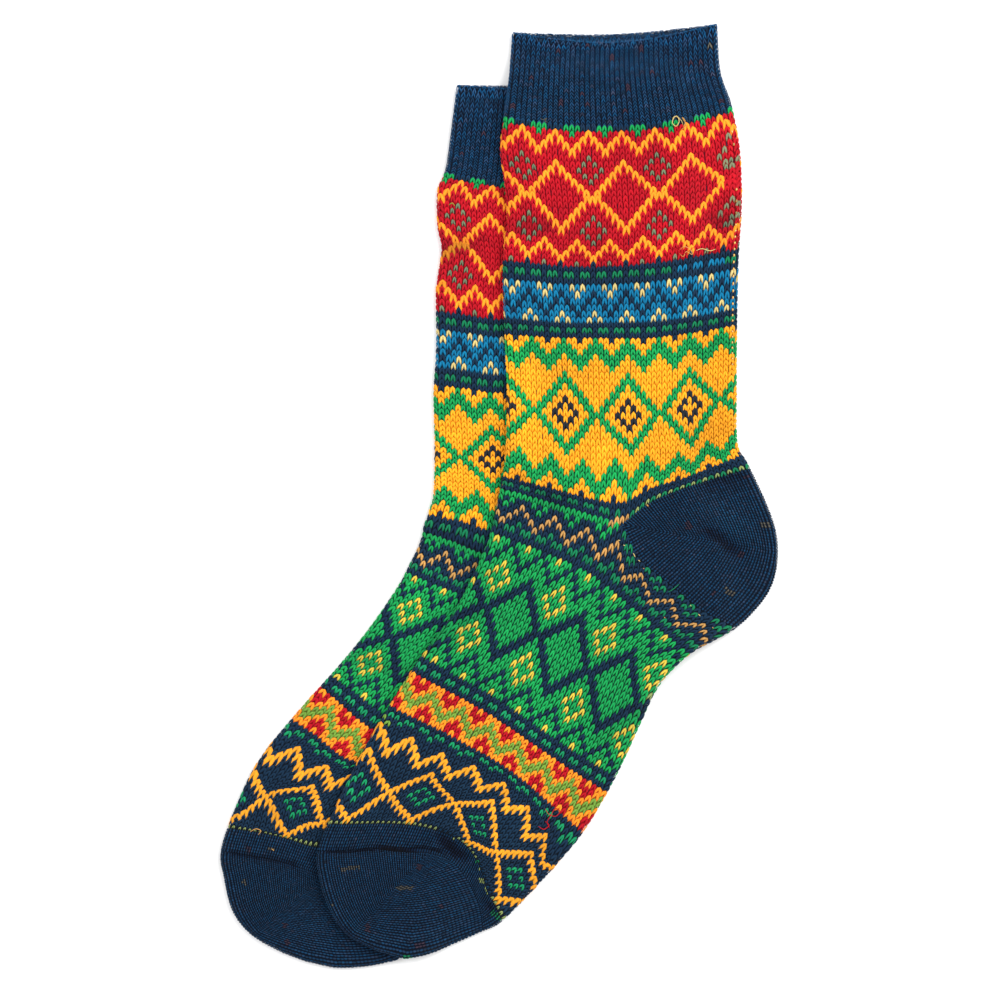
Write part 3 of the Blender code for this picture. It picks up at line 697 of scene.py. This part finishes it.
def yarn_loop(stretches, stout, squat, tones, spread=0.40, tuck=0.14, bend=0.72, arch=1.7, leg=False):
    """One loop of yarn as an arch on a dark plate of painted shade; or one straight leg of a fine loop.

    With u from -1 to 1 along the yarn: s = spread * sign(u) * |u| ** bend, t = -0.42 + 1.36 * |u| ** arch
    and h = (1 - |u| ** 4) * (1 - tuck + tuck * |u| ** 0.6); along a leg s = 0.06 * u and t = 0.66 * u.
    Each place has a ridge point and an edge point on either side; the two ends are single points. stout is
    the yarn's half width in wales, squat the height of a course in wales. tones paint light and shade: the
    edges' share of the gap's painted shade, the painted highlight along the ridge and the brightness along
    the edges. The two ends take on most of the gap's painted shade, where they pass under the next loop.
    """
    u = np.linspace(-1, 1, stretches)
    size = np.abs(u)
    s = spread * np.sign(u) * size ** bend
    t = -0.42 + 1.36 * size ** arch
    h = (1 - size ** 4) * (1 - tuck + tuck * size ** 0.6)
    if leg:
        s, t = 0.06 * u, 0.66 * u
    along_s, along_t = np.gradient(s), np.gradient(t) * squat
    long = np.hypot(along_s, along_t)
    side_s, side_t = -along_t / long, along_s / long / squat
    wide = stout * (1 - 0.35 * size ** 3)
    inner = slice(1, stretches - 1)
    ring_s = np.stack([(s - side_s * wide)[inner], s[inner], (s + side_s * wide)[inner]], 1)
    ring_t = np.stack([(t - side_t * wide)[inner], t[inner], (t + side_t * wide)[inner]], 1)
    ring_h = np.stack([h[inner] - 0.62, h[inner], h[inner] - 0.62], 1)
    rings = stretches - 2
    point_s = np.concatenate([s[:1], ring_s.ravel(), s[-1:], [-0.52, 0.52, 0.52, -0.52]])
    point_t = np.concatenate([t[:1], ring_t.ravel(), t[-1:], [-0.45, -0.45, 0.62, 0.62]])
    point_h = np.concatenate([[-0.3], ring_h.ravel(), [-0.3], [-0.45] * 4])
    end = 1 + 3 * rings
    faces, corners = [], []

    def spot(point):
        if point in (0, end):
            return 0.4, 0.0 if point == 0 else 1.0
        return 0.4 * ((point - 1) % 3), (1 + (point - 1) // 3) / (stretches - 1)

    for side in (0, 1):
        faces.append((0, 1 + side, 2 + side)[::-1])
        faces.append((end, end - 3 + side, end - 2 + side))
        for ring in range(rings - 1):
            low = 1 + 3 * ring + side
            faces.append((low, low + 3, low + 4, low + 1)[::-1])
    for face in faces:
        corners.extend(spot(point) for point in face)
    plate = end + 1
    faces.append((plate, plate + 1, plate + 2, plate + 3)[::-1])
    corners.extend([(0.82, 0.0), (1.0, 0.0), (1.0, 1.0), (0.82, 1.0)][::-1])
    twist = np.zeros((plate + 4, 2))
    twist[1:end] = np.stack([np.repeat(u[inner] * 4, 3), np.tile([-1.0, 0.0, 1.0], rings)], 1)
    twist[0, 0], twist[end, 0] = -4, 4
    at_edge = twist[:, 1] != 0
    # Painted light across the strand: shade from the gap at its edges and ends, a highlight along its ridge.
    mix = np.where(at_edge, tones[0], 0.0)
    mix[[0, end]] = 0.8
    mix[plate:] = 1.0
    bright = np.where(mix == 0, tones[1], np.where(at_edge, tones[2], 1.0))
    return Loop(point_s, point_t, point_h, faces, np.array(corners), twist, plate, mix, bright)


# The tones paint light and shade into each kind: gap shade at the edges and a highlight along the ridge; the
# cuff's chevrons are painted bright along ridge and edges alike.
FULL = yarn_loop(7, 0.225, 1.08, (0.5, 1.18, 1.0))
CHEVRON = yarn_loop(5, 0.125, 0.72, (0.2, 1.75, 1.75), spread=0.5, tuck=0.1, bend=1.0, arch=1.0)
LEG = yarn_loop(4, 0.30, 1.1, (0.6, 1.22, 1.0), leg=True)
HIDDEN = yarn_loop(5, 0.225, 1.1, (0.2, 1.22, 1.0))
DASH = yarn_loop(4, 0.55, 1.9, (0.6, 1.22, 1.0), leg=True)

PAINTED_SHEEN = np.array([0.002, 0.007, 0.010])  # painted sheen: a pale highlight added along a strand's ridge
CREASE_SHADE_HUE = (1.15, 1.0, 0.75)  # how fast red, green and blue darken in a crease's painted shade

# Stitches by the thousand: wide and high are one wale and one course, size the yarn's own stoutness, and
# gap the painted shade seen between the loops.
Stitches = namedtuple("Stitches", "wale course wide high size colour gap")


def knit(sock, part, parts, loop, thick, seed, proud=0.0):
    """A piece of many stitches of one kind, on one net or several, varied a little by chance."""
    chance = np.random.default_rng(seed)
    places, colours, lays = [], [], []
    for net, stitches in parts:
        if not len(stitches.wale):
            continue
        place, middle, way = stitch_places(net, stitches, loop, thick, proud, chance)
        places.append(place)
        colours.append(stitch_colours(sock, stitches, loop, middle, way, chance))
        own = chance.uniform(0, 1, (len(stitches.wale), 1))
        along, across = loop.twist.T
        lays.append(np.stack(np.broadcast_arrays(along + own * 7, across, own), -1))
    places = np.concatenate(places) * METRE
    return loops_mesh(sock.name + part, places, np.concatenate(colours), np.concatenate(lays), loop)


def stitch_places(net, stitches, loop, thick, proud, chance):
    """Each point's place: the net's at (wale + s * wide, course + t * high), moved outwards by
    thick * (h - 1) + proud. Also each stitch's middle on the net and its way out of the cloth.

    Every stitch is shifted, grown, leant and raised a little by chance, more so at the rim. With u from
    -1 to 1 along the yarn, s of a bold loop is less by up to 0.3 * |u| ** 3 of itself.
    """
    count = len(stitches.wale)
    at_rim = np.where(stitches.course < CUFF_START + 1, RIM_VARIES, 1)[:, None]
    shift = chance.normal(0, PLACE_VARIES, (2, count, 1)) * at_rim
    grow = chance.normal(1, SIZE_VARIES, (2, count, 1))
    lean = chance.normal(0, LEAN_VARIES, (count, 1))
    size = np.reshape(stitches.size, (-1, 1)) * np.ones((count, len(loop.s)))
    size[:, loop.plate:] = 1
    close = 1 - np.clip(6 * (size - BOLD), 0, 0.3) * np.abs(loop.twist[:, 0] / 4) ** 3
    s = loop.s * grow[0] * size * close + shift[0] + lean * loop.t
    t = loop.t * grow[1] * (0.3 + 0.7 * size) + shift[1] + 0.12 * (size - 1)
    wale = stitches.wale[:, None] + s * np.reshape(stitches.wide, (-1, 1))
    course = stitches.course[:, None] + t * np.reshape(stitches.high, (-1, 1))
    place, way = net.at(wale, course)
    rise = thick * (loop.h - 1) * np.ones((count, 1)) + chance.normal(0, HEIGHT_VARIES, (count, 1))
    out = np.minimum(rise + 0.25 * (size - 1), HIGHEST) + proud
    middle = loop.plate // 2
    return place + way * out[..., None], place[:, middle, :2], way[:, middle]


def stitch_colours(sock, stitches, loop, middle, way, chance):
    """Each point's colour: own * (1 - share) + gap * share, share being its part of the gap's painted shade,
    times its painted brightness, with a painted sheen added along the ridge, then times the stitch's tone,
    which varies by chance and is painted darker down a crease and lighter on a ridge. A strand takes on the
    gap's painted shade at its edges; marks change its own colour.
    """
    own, gap = stitches.colour.copy(), stitches.gap.copy()
    marked = np.where(way[:, 2] > 0.2, sock.marked(middle), -1)
    for number, mark in enumerate(sock.marks):
        own[marked == number] = YARNS[mark.yarn]
        if mark.yarn == "R":
            gap[marked == number] = GAP_SHADES["R"]
    # Painted shade down a crease and painted highlight on a ridge; blue fades slowest in the shade.
    depth = np.clip(sock.crease(middle, 0.0), -1.3, 2.0)
    tone_and_shade = (chance.normal(1, TONE_VARIES, len(own)) * np.maximum(1 - 0.45 * depth, 0.18))[:, None, None]
    mix, bright = loop.mix[None, :, None], loop.bright[None, :, None]
    colour = (own[:, None] * (1 - mix) + gap[:, None] * mix) * bright + (mix == 0) * PAINTED_SHEEN
    return np.clip(colour * tone_and_shade ** CREASE_SHADE_HUE, 0, 1)


def loops_mesh(name, places, colours, lays, loop):
    """The mesh of all stitches at once, with the yarn's colour and lay as attributes and a square of the
    flat layout for each stitch, the squares side by side in rows.
    """
    count, points = places.shape[:2]
    sizes = np.array([len(face) for face in loop.faces])
    single = np.concatenate([np.array(face) for face in loop.faces])
    corner = (single[None] + np.arange(count)[:, None] * points).ravel()
    starts = np.concatenate([[0], np.cumsum(np.tile(sizes, count))[:-1]])
    mesh = bpy.data.meshes.new(name)
    mesh.vertices.add(count * points)
    mesh.vertices.foreach_set("co", places.astype(np.float32).ravel())
    mesh.loops.add(len(corner))
    mesh.loops.foreach_set("vertex_index", corner.astype(np.int32))
    mesh.polygons.add(len(sizes) * count)
    mesh.polygons.foreach_set("loop_start", starts.astype(np.int32))
    mesh.polygons.foreach_set("use_smooth", np.ones(len(sizes) * count, bool))
    mesh.update(calc_edges=True)
    mesh.validate()
    wide = math.ceil(math.sqrt(count))
    high = math.ceil(count / wide)
    square = np.arange(count)
    start = np.stack([square % wide, square // wide], 1)
    layout = (start[:, None] + 0.01 + 0.98 * loop.corners[None]) / (wide, high)
    mesh.uv_layers.new(name="OFBake").data.foreach_set("uv", layout.astype(np.float32).ravel())
    full = np.concatenate([colours, np.ones(colours.shape[:2] + (1,))], -1)
    yarn = mesh.attributes.new("yarn", "FLOAT_COLOR", "POINT")
    yarn.data.foreach_set("color", full.astype(np.float32).ravel())
    lay = mesh.attributes.new("lay", "FLOAT_VECTOR", "POINT")
    lay.data.foreach_set("vector", lays.astype(np.float32).ravel())
    return placed(mesh)


def placed(mesh):
    """The piece of this mesh, in the scene under the mesh's name."""
    piece = bpy.data.objects.new(mesh.name, mesh)
    bpy.context.scene.collection.objects.link(piece)
    return piece


YARNS = {letter: of_yarn(code) for letter, code in YARN_CODES.items()}
GAP_SHADES = {letter: of_yarn(code) for letter, code in GAP_SHADE_CODES.items()}
MIRRORED = [step if step <= REPEAT // 2 else REPEAT - step for step in range(REPEAT)]
LETTERS = np.array([[row[step] for step in MIRRORED] for row in CHART.split()])

# Beside the heel the last pairs lie against it, in light green and tan.
BY_HEEL = {61: "N", 62: "KgKgKg", 63: "NgNgNN"}
SHADED_START, SHADED_END = 62, 67  # courses whose green is darker there

# Yellow stands alone on red and on navy, where its loops are stout: their size, colour and gaps' painted
# shade.
ON_RED = (1.42, (1.0, 0.80, 1.0), of_yarn("b8481a"))
ON_NAVY = (1.65, (0.80, 0.80, 0.95), of_yarn("b07a26"))


def pattern(column, course, wale):
    """Stoutness, colour and gap colour, the painted shade between the loops, from the chart, for stitches
    whose column counts from the middle of a motif.
    """
    letter = LETTERS[course + 1, column % REPEAT]
    by_heel = np.abs(wale - FACING) < FACING / 2
    for row, marks in BY_HEEL.items():
        beside = by_heel & (course == row)
        letter[beside] = np.array(list(marks))[column[beside] % len(marks)]
    letter[by_heel & (course >= SHADED_START) & (course <= SHADED_END) & (letter == "G")] = "g"
    colour, gap = np.zeros(letter.shape + (3,)), np.zeros(letter.shape + (3,))
    for name in YARNS:
        colour[letter == name] = YARNS[name]
        gap[letter == name] = GAP_SHADES.get(name, GAP_SHADES["N"])
    colour[(letter == "g") & (course > LATTICE_END)] *= 1.45
    size = np.ones(letter.shape)
    yellow = letter == "Y"
    zigzag = (course >= ZIGZAG_START) & (course <= ZIGZAG_END)
    for rows, (stout, tone, behind) in ((course <= RED_END, ON_RED), (zigzag, ON_RED),
                                        (course > ZIGZAG_END, ON_NAVY)):
        bold = yellow & rows
        size[bold] = stout
        colour[bold] *= tone
        gap[bold] = behind
    size[yellow & zigzag] = 1.12
    size[letter == "D"] = 1.35
    size[letter == "S"] = 0.78
    size[letter == "K"] = 0.75
    size[(letter == "K") & (course > ZIGZAG_END)] = 0.5
    return size, colour, gap


def plain(seed):
    """Plain navy, every stitch a little lighter or darker and some warmer, and a painted highlight on the
    rim.
    """
    def colours(column, course, wale):
        chance = np.random.default_rng(seed)
        count = len(column)
        colour = np.tile(YARNS["P"], (count, 1)) * chance.normal(1, 0.2, (count, 1))
        colour += chance.exponential(0.004, (count, 1)) * (1.0, 0.5, 0.35)
        # painted highlight along the rolled rim
        colour[course < CUFF_START + 1.5] *= 1.5
        return np.ones(count), colour, np.tile(GAP_SHADES["P"], (count, 1))
    return colours


def tube_stitches(sock, drift, first, last, top, colours, legs=False):
    """Stitches of whole courses round the tube, each moved round by the drift; those on the top layer or
    the rest. With legs each stitch is two straight legs side by side.
    """
    past = np.arange(ROUND) - int(sock.lead)
    courses = np.arange(first, last + 1)
    past, course = (grid.ravel() for grid in np.meshgrid(past, courses))
    wale = sock.lead + past
    share = way_across(wale)
    front, back = (np.interp(course, drift[:, 0], drift[:, side]) for side in (1, 2))
    wale = np.mod(wale + front * (1 - share) + back * share, ROUND)
    kept = (wale < FACING) if top else (wale >= FACING)
    wale, past, course = wale[kept], past[kept], course[kept]
    if legs:
        wale = np.concatenate([wale - 0.25, wale + 0.25])
        past, course = np.tile(past, 2), np.tile(course, 2)
    wide = 0.5 if legs else 1.0
    return Stitches(wale, course.astype(float), wide, 1.0, *colours(past, course, wale))


def dashes(wale, first, last):
    """A float caught down the back fold: one short dash of thin yellow yarn in every course."""
    course = np.arange(first, last + 1) + 0.5
    many = len(course)
    return Stitches(np.full(many, wale), course, 0.2, 0.36, np.ones(many),
                    np.tile(YARNS["C"], (many, 1)), np.tile(GAP_SHADES["Y"], (many, 1)))


def pocket_stitches(net, across, height, seed):
    """Plain stitches of a pocket: in each wale as many courses as fit its length, evenly spaced."""
    centres = (np.arange(across) + 0.5) / across
    v = np.linspace(0, 1, 40)
    place, _ = net.at(*(grid.T for grid in np.meshgrid(centres, v)))
    length = np.linalg.norm(np.diff(place, axis=1), axis=-1).sum(1)
    many = np.maximum((length / height / 2).astype(int) * 2, 2)
    wale = np.repeat(centres, many)
    step = np.repeat(1.0 / many, many)
    number = np.arange(many.sum()) - np.repeat(np.cumsum(many) - many, many)
    return Stitches(wale, (number + 0.5) * step, 1.0 / across, step, *plain(seed)(number, number, wale))


def pockets(sock):
    """The nets of the heel and of the toe, each on the top layer and on the one beneath."""
    leg_end, foot_start = sock.leg[-1, 1:].reshape(-1, 2), sock.foot[0, 1:].reshape(-1, 2)
    heel_edge = fold_between(sock, leg_end[-1], foot_start[-1])
    toe_start, seam = sock.band[0, 1:].reshape(-1, 2), sock.band[-1, 1:].reshape(-1, 2)
    toe_edge = fold_between(sock, seam[0], seam[-1])
    far_edge = fold_between(sock, toe_start[0], toe_start[-1])
    heels, toes = [], []
    for facing in (1.0, -1.0):
        start, rim = (seam, toe_edge) if facing > 0 else (toe_start, far_edge)
        heels.append(pocket_net(sock, leg_end[4:], foot_start[4:], heel_edge, 1.0, facing))
        toes.append(pocket_net(sock, start[4::-1], start[4:], rim, 1.32, facing))
    return heels, toes


def dress(sock, seed):
    """All the stitches of one sock: cuff, leg, foot, toe band, heel, toe, caught float and underside."""
    cuff = tube_net(sock, sock.cuff, CUFF_START - 5.0, 0)
    lining = Net(cuff.places - LINING_DEPTH * cuff.outward, cuff.wales, cuff.courses, True)
    leg = tube_net(sock, sock.leg, -2, HEEL_COURSE + 1.5)
    foot = tube_net(sock, sock.foot, HEEL_COURSE - 1.5, CHART_END + 2.0)
    band = tube_net(sock, sock.band, CHART_END - 0.5, CHART_END + 9.5)
    heels, toes = pockets(sock)
    legs, feet = sock.leg_drift, sock.foot_drift

    def leg_side(top):
        return leg, tube_stitches(sock, legs, LEG_START, LEG_END, top, pattern)

    def foot_side(top):
        return foot, tube_stitches(sock, feet, FOOT_START, CHART_END, top, pattern)

    cuffs = [(cuff, tube_stitches(sock, legs, CUFF_START - 3, CUFF_END, top, plain(seed)))
             for top in (True, False)]
    inside = tube_stitches(sock, legs, CUFF_START, CUFF_START + LINING_COURSES, False, plain(seed + 1))
    cuffs.append((lining, inside._replace(wide=-1.0)))
    bands = tube_stitches(sock, feet, CHART_END + 1, CHART_END + 8, True, plain(seed + 4), True)
    heels = [(net, pocket_stitches(net, HEEL_ACROSS, POCKET_COURSE, seed + 5)) for net in heels]
    toes = [(net, pocket_stitches(net, TOE_ACROSS, POCKET_COURSE, seed + 7)) for net in toes]
    caught = [(leg, dashes(FLOAT_WALE, FLOAT_START, FLOAT_END))]
    return [
        knit(sock, "_cuff", cuffs, CHEVRON, FINE_HIGH, seed),
        knit(sock, "_leg", [leg_side(True)], FULL, YARN_HIGH, seed + 2),
        knit(sock, "_foot", [foot_side(True)], FULL, YARN_HIGH, seed + 3),
        knit(sock, "_toe_band", [(band, bands)], LEG, FINE_HIGH, seed + 4),
        knit(sock, "_heel", heels, LEG, FINE_HIGH, seed + 5),
        knit(sock, "_toe", toes, LEG, FINE_HIGH, seed + 6),
        knit(sock, "_caught_float", caught, DASH, 0.3, seed + 10, FLOAT_PROUD),
        knit(sock, "_underside", [leg_side(False), foot_side(False)], HIDDEN, YARN_HIGH, seed + 9),
    ]


def threads(sock, radius):
    """Loose ends of yarn: round tubes along the even cubic through their points, radius * sin(pi * u) ** 0.3
    thick with u from 0 to 1 along each, closed at both ends where they are thinnest.
    """
    places, colours, faces, sides, rings = [], [], [], 6, 19
    for number, (letter, points) in enumerate(sock.threads):
        knots = np.array(points, float).reshape(-1, 3)
        u = np.linspace(0, 1, rings)
        line = through(np.linspace(0, 1, len(knots)), knots, u)
        above = line[:, 2] + radius * 0.6
        spine = sock.lay(line[:, :2], np.ones(rings)) + above[:, None] * (0, 0, 1)
        along = np.gradient(spine, axis=0)
        aside = np.cross(along, (0.0, 0.0, 1.0)) + (1e-6, 0, 0)
        aside = aside / np.linalg.norm(aside, axis=1, keepdims=True)
        over = np.cross(aside, along)
        over = over / np.linalg.norm(over, axis=1, keepdims=True)
        turn = np.linspace(0, 2 * math.pi, sides, endpoint=False)[None, :, None]
        wide = radius * np.maximum(np.sin(math.pi * u), 0.02)[:, None, None] ** 0.3
        tube = spine[:, None] + wide * (np.cos(turn) * aside[:, None] + np.sin(turn) * over[:, None])
        start = number * rings * sides
        here = start + np.arange(rings * sides).reshape(rings, sides)
        beside = np.roll(here, -1, axis=1)
        walls = np.stack([here[:-1], beside[:-1], beside[1:], here[1:]], -1).reshape(-1, 4)
        faces += walls[:, ::-1].tolist()
        faces += [here[0].tolist(), here[-1][::-1].tolist()]
        places.append(tube.reshape(-1, 3))
        colours.append(np.tile(np.append(YARNS[letter], 1.0), (rings * sides, 1)))
    mesh = bpy.data.meshes.new(sock.name + "_loose_ends")
    mesh.from_pydata((np.concatenate(places) * METRE).tolist(), [], faces)
    flat = np.concatenate(colours).astype(np.float32).ravel()
    mesh.attributes.new("yarn", "FLOAT_COLOR", "POINT").data.foreach_set("color", flat)
    mesh.attributes.new("lay", "FLOAT_VECTOR", "POINT")
    mesh.polygons.foreach_set("use_smooth", np.ones(len(mesh.polygons), bool))
    mesh.update()
    return placed(mesh)


def shell(sock, outer_depth, inner_depth):
    """The sock's cloth as one closed wall: rings across the sections, each once round, sunk by the two
    depths under the surface, joined at the rim and closed at the toe.
    """
    front, back = section_lines(sock.sections, SECTION_PARTS)
    front, back = front[:-1], back[:-1]
    steps = 36
    widen = 1.6
    x = np.linspace(0, 1, steps + 1)
    share = 0.45 * (0.5 - 0.5 * np.cos(math.pi * x)) + 0.55 * x
    share = np.concatenate([share[:-1], share[:0:-1]])
    top = np.arange(2 * steps) < steps
    flat = front[:, None] * (1 - share[None, :, None]) + back[:, None] * share[None, :, None]
    bow = np.sin(math.pi * share)
    dip = np.where(top, sock.dips[0], sock.dips[1]) * bow + 0.3
    fade = np.clip(1 - np.arange(len(front)) / 6, 0, 1)[:, None]
    flat[..., 1] -= dip * fade
    places = sock.lay(flat, np.where(top, 1.0, -1.0) * np.ones(flat.shape[:2]), widen)
    closed = np.concatenate([places[:, -2:], places, places[:, :2]], 1)
    way = np.cross(np.gradient(closed, axis=0), np.gradient(closed, axis=1))[:, 2:-2]
    way = way / np.linalg.norm(way, axis=-1, keepdims=True)
    rings, around = places.shape[:2]
    walls = np.concatenate([places - way * outer_depth, places - way * inner_depth]) * METRE
    here = np.arange(rings * 2 * around).reshape(2 * rings, around)
    beside = np.roll(here, -1, axis=1)

    def strips(one, other):
        return np.stack([one[0], one[1], other[1], other[0]], -1).reshape(-1, 4)

    outer = strips((here[:rings - 1], beside[:rings - 1]), (here[1:rings], beside[1:rings]))
    inner = strips((here[rings + 1:], beside[rings + 1:]), (here[rings:-1], beside[rings:-1]))
    rim = strips((here[rings], beside[rings]), (here[0], beside[0]))
    mirrored = np.arange(1, steps)

    def cap(ring):
        low = ring[around - mirrored]
        high = ring[mirrored]
        middle = np.stack([high[:-1], high[1:], low[1:], low[:-1]], -1)
        ends = np.array([[ring[0], high[0], low[0], low[0]], [high[-1], ring[steps], low[-1], low[-1]]])
        return middle, ends

    outer_cap, outer_ends = cap(here[rings - 1])
    inner_cap, inner_ends = cap(here[-1])
    quads = np.concatenate([outer, inner, rim, outer_cap, inner_cap[:, ::-1]])
    tris = np.concatenate([outer_ends[:, :3], inner_ends[:, 2::-1]])
    mesh = bpy.data.meshes.new(sock.name + "_cloth")
    mesh.from_pydata(walls.reshape(-1, 3).tolist(), [], quads.tolist() + tris.tolist())
    mesh.polygons.foreach_set("use_smooth", np.ones(len(mesh.polygons), bool))
    mesh.update()
    return placed(mesh)


class Wire:
    """A shader socket whose sums and products with sockets or numbers add the Math nodes for them."""

    def __init__(self, bench, socket):
        self.bench, self.socket = bench, socket

    def math(self, operation, one, other):
        return self.bench.node("ShaderNodeMath", {"operation": operation}, {0: one, 1: other})

    def __add__(self, other):
        return self.math("ADD", self, other)

    def __radd__(self, other):
        return self.math("ADD", other, self)

    def __mul__(self, other):
        return self.math("MULTIPLY", self, other)

    def __rmul__(self, other):
        return self.math("MULTIPLY", other, self)


class Bench:
    """A new material with its one shader, and the way that every other node is added to it."""

    def __init__(self, name, constants):
        self.material = bpy.data.materials.new(name)
        self.material.use_nodes = True
        self.tree = self.material.node_tree
        self.shader = self.tree.nodes["Principled BSDF"]
        for socket, value in constants.items():
            self.shader.inputs[socket].default_value = value

    def join(self, node, inputs):
        for key, value in inputs.items():
            if isinstance(value, Wire):
                self.tree.links.new(value.socket, node.inputs[key])
            else:
                node.inputs[key].default_value = value

    def node(self, kind, settings=None, inputs=None, output=0):
        """A node of this kind, its settings made first, as the wire of one of its outputs."""
        made = self.tree.nodes.new(kind)
        for key, value in (settings or {}).items():
            setattr(made, key, value)
        self.join(made, inputs or {})
        return Wire(self, made.outputs[output])

    def noise(self, scale, detail, rough=0.6):
        place = self.node("ShaderNodeTexCoord", output="Object")
        return self.node("ShaderNodeTexNoise", {}, {"Vector": place, "Scale": scale, "Detail": detail,
                                                    "Roughness": rough}, "Fac")

    def scaled(self, colour, amount):
        """The colour times a number."""
        return self.node("ShaderNodeVectorMath", {"operation": "SCALE"}, {0: colour, "Scale": amount},
                         "Vector")

    def finish(self, colour, rough, height, strength, distance):
        bump = self.node("ShaderNodeBump", {}, {"Height": height, "Strength": strength,
                                                "Distance": distance})
        self.join(self.shader, {"Base Color": colour, "Roughness": rough, "Normal": bump})
        return self.material


def yarn_material(name):
    """Soft spun cotton: the stitch's own colour, uneven in tone, twisted from plies and a little fuzzy."""
    bench = Bench(name, {"Sheen Weight": 0.03, "Sheen Roughness": 0.6, "Specular IOR Level": 0.12})
    own = bench.node("ShaderNodeAttribute", {"attribute_name": "yarn"}, output="Color")
    lay = bench.node("ShaderNodeAttribute", {"attribute_name": "lay"}, output="Vector")
    along = bench.node("ShaderNodeSeparateXYZ", {}, {0: lay}, "X")
    over = Wire(bench, along.socket.node.outputs["Y"])
    ply = bench.node("ShaderNodeMath", {"operation": "SINE"}, {0: along * 3.4 + over * 1.9})
    fibre = bench.noise(3200.0, 4.0, 0.7)
    cloud = bench.noise(95.0, 3.0)
    # ply * 0.05 is faint painted shade along the twist of the plies; fibre and cloud vary the tone by
    # chance.
    tone = 0.72 + fibre * 0.38 + cloud * 0.16 + ply * 0.05
    return bench.finish(bench.scaled(own, tone), 0.78 + fibre * 0.2, ply * 0.3 + fibre, 0.55, 0.00022)


def cloth_material(name):
    """The back of the knitting inside the sock and under the stitches: dark navy with faint floats."""
    bench = Bench(name, {"Specular IOR Level": 0.2})
    place = bench.node("ShaderNodeTexCoord", output="Object")
    rows = bench.node("ShaderNodeTexWave", {"wave_type": "BANDS", "bands_direction": "Y"},
                      {"Vector": place, "Scale": 150.0, "Distortion": 2.0, "Detail": 1.0}, "Fac")
    fibre = bench.noise(2600.0, 3.0)
    dark, light = (0.004, 0.011, 0.025, 1), (0.012, 0.040, 0.088, 1)
    navy = bench.node("ShaderNodeMix", {"data_type": "RGBA"},
                      {"Factor": rows * 0.5 + fibre * 0.4, 6: dark, 7: light}, 2)
    return bench.finish(navy, 0.85 + fibre * 0.12, rows + fibre * 0.5, 0.5, 0.0003)


def floor_material():
    """Plain matt white paper, with the faintest tooth."""
    bench = Bench("white_paper", {"Specular IOR Level": 0.1})
    tooth = bench.noise(900.0, 2.0)
    white = bench.node("ShaderNodeMix", {"data_type": "RGBA"},
                       {"Factor": tooth * 0.3, 6: (0.98, 0.98, 0.98, 1), 7: (0.96, 0.96, 0.96, 1)}, 2)
    return bench.finish(white, 0.9 + tooth * 0.05, tooth, 0.02, 0.0001)


def look_down():
    """The camera straight above the pair, a long lens so that 360 mm fill the frame."""
    lens = bpy.data.cameras.new("above")
    lens.lens, lens.sensor_width = 301.0, 36.0
    lens.clip_start, lens.clip_end = 0.05, 20
    camera = bpy.data.objects.new("above", lens)
    camera.location = (0.0002, -0.0011, 3.015)
    bpy.context.scene.collection.objects.link(camera)
    bpy.context.scene.camera = camera


def soft_light(name, place, size, power):
    """A round lamp of this size in metres, turned towards the middle of the pair."""
    lamp = bpy.data.lights.new(name, "AREA")
    lamp.shape, lamp.size, lamp.energy = "DISK", size, power
    light = bpy.data.objects.new(name, lamp)
    light.location = place
    way = -np.array(place)
    light.rotation_euler = (math.atan2(math.hypot(way[0], way[1]), -way[2]), 0, math.atan2(-way[0], way[1]))
    bpy.context.scene.collection.objects.link(light)


def studio():
    """White surroundings, a large lamp at the upper right, a weaker one at the left, and a white floor."""
    scene = bpy.context.scene
    scene.view_settings.view_transform = "Standard"
    world = bpy.data.worlds.new("studio")
    world.use_nodes = True
    world.node_tree.nodes["Background"].inputs["Color"].default_value = (1, 1, 1, 1)
    world.node_tree.nodes["Background"].inputs["Strength"].default_value = 0.85
    scene.world = world
    soft_light("key", (0.95, 0.6, 1.35), 1.4, 26)
    soft_light("fill", (-0.9, 0.2, 1.5), 1.2, 12)
    mesh = bpy.data.meshes.new("floor")
    side = 2.5
    corners = [(-side, -side, 0), (side, -side, 0), (side, side, 0), (-side, side, 0)]
    mesh.from_pydata(corners, [], [(0, 1, 2, 3)])
    mesh.materials.append(floor_material())
    placed(mesh)


def make_sock(sock, seed):
    """One sock: its cloth wall and its stitches, riding on the one body and standing for the solid."""
    cloth = shell(sock, CLOTH_OUTER, CLOTH_INNER)
    cloth.data.materials.append(cloth_material(sock.name + "_inside"))
    yarn = yarn_material(sock.name + "_yarn")
    pieces = dress(sock, seed) + [threads(sock, THREAD)]
    for piece in pieces:
        piece.data.materials.append(yarn)
    for piece in [cloth] + pieces:
        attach(piece, "root")
        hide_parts(sock.name)
    return cloth


def main():
    """The camera and the studio, then the lower sock and the upper one that lies partly over it."""
    look_down()
    studio()
    lower = Sock("lower_sock", LOWER_SECTIONS, (LOWER_CUFF, LOWER_LEG, LOWER_FOOT),
                 (LOWER_LEG_DRIFT, LOWER_FOOT_DRIFT), LOWER_SEAM, LOWER_CREASES, LOWER_MARKS,
                 LOWER_THREADS, lead=10.35, dips=(1.8, 0.4))
    upper = Sock("upper_sock", UPPER_SECTIONS, (UPPER_CUFF, UPPER_LEG, UPPER_FOOT),
                 (UPPER_LEG_DRIFT, UPPER_FOOT_DRIFT), UPPER_SEAM, UPPER_CREASES, UPPER_MARKS,
                 UPPER_THREADS, lead=11.8, dips=(4.9, 2.0), under=lower.fold)
    under = make_sock(lower, 11)
    make_sock(upper, 71)


main()
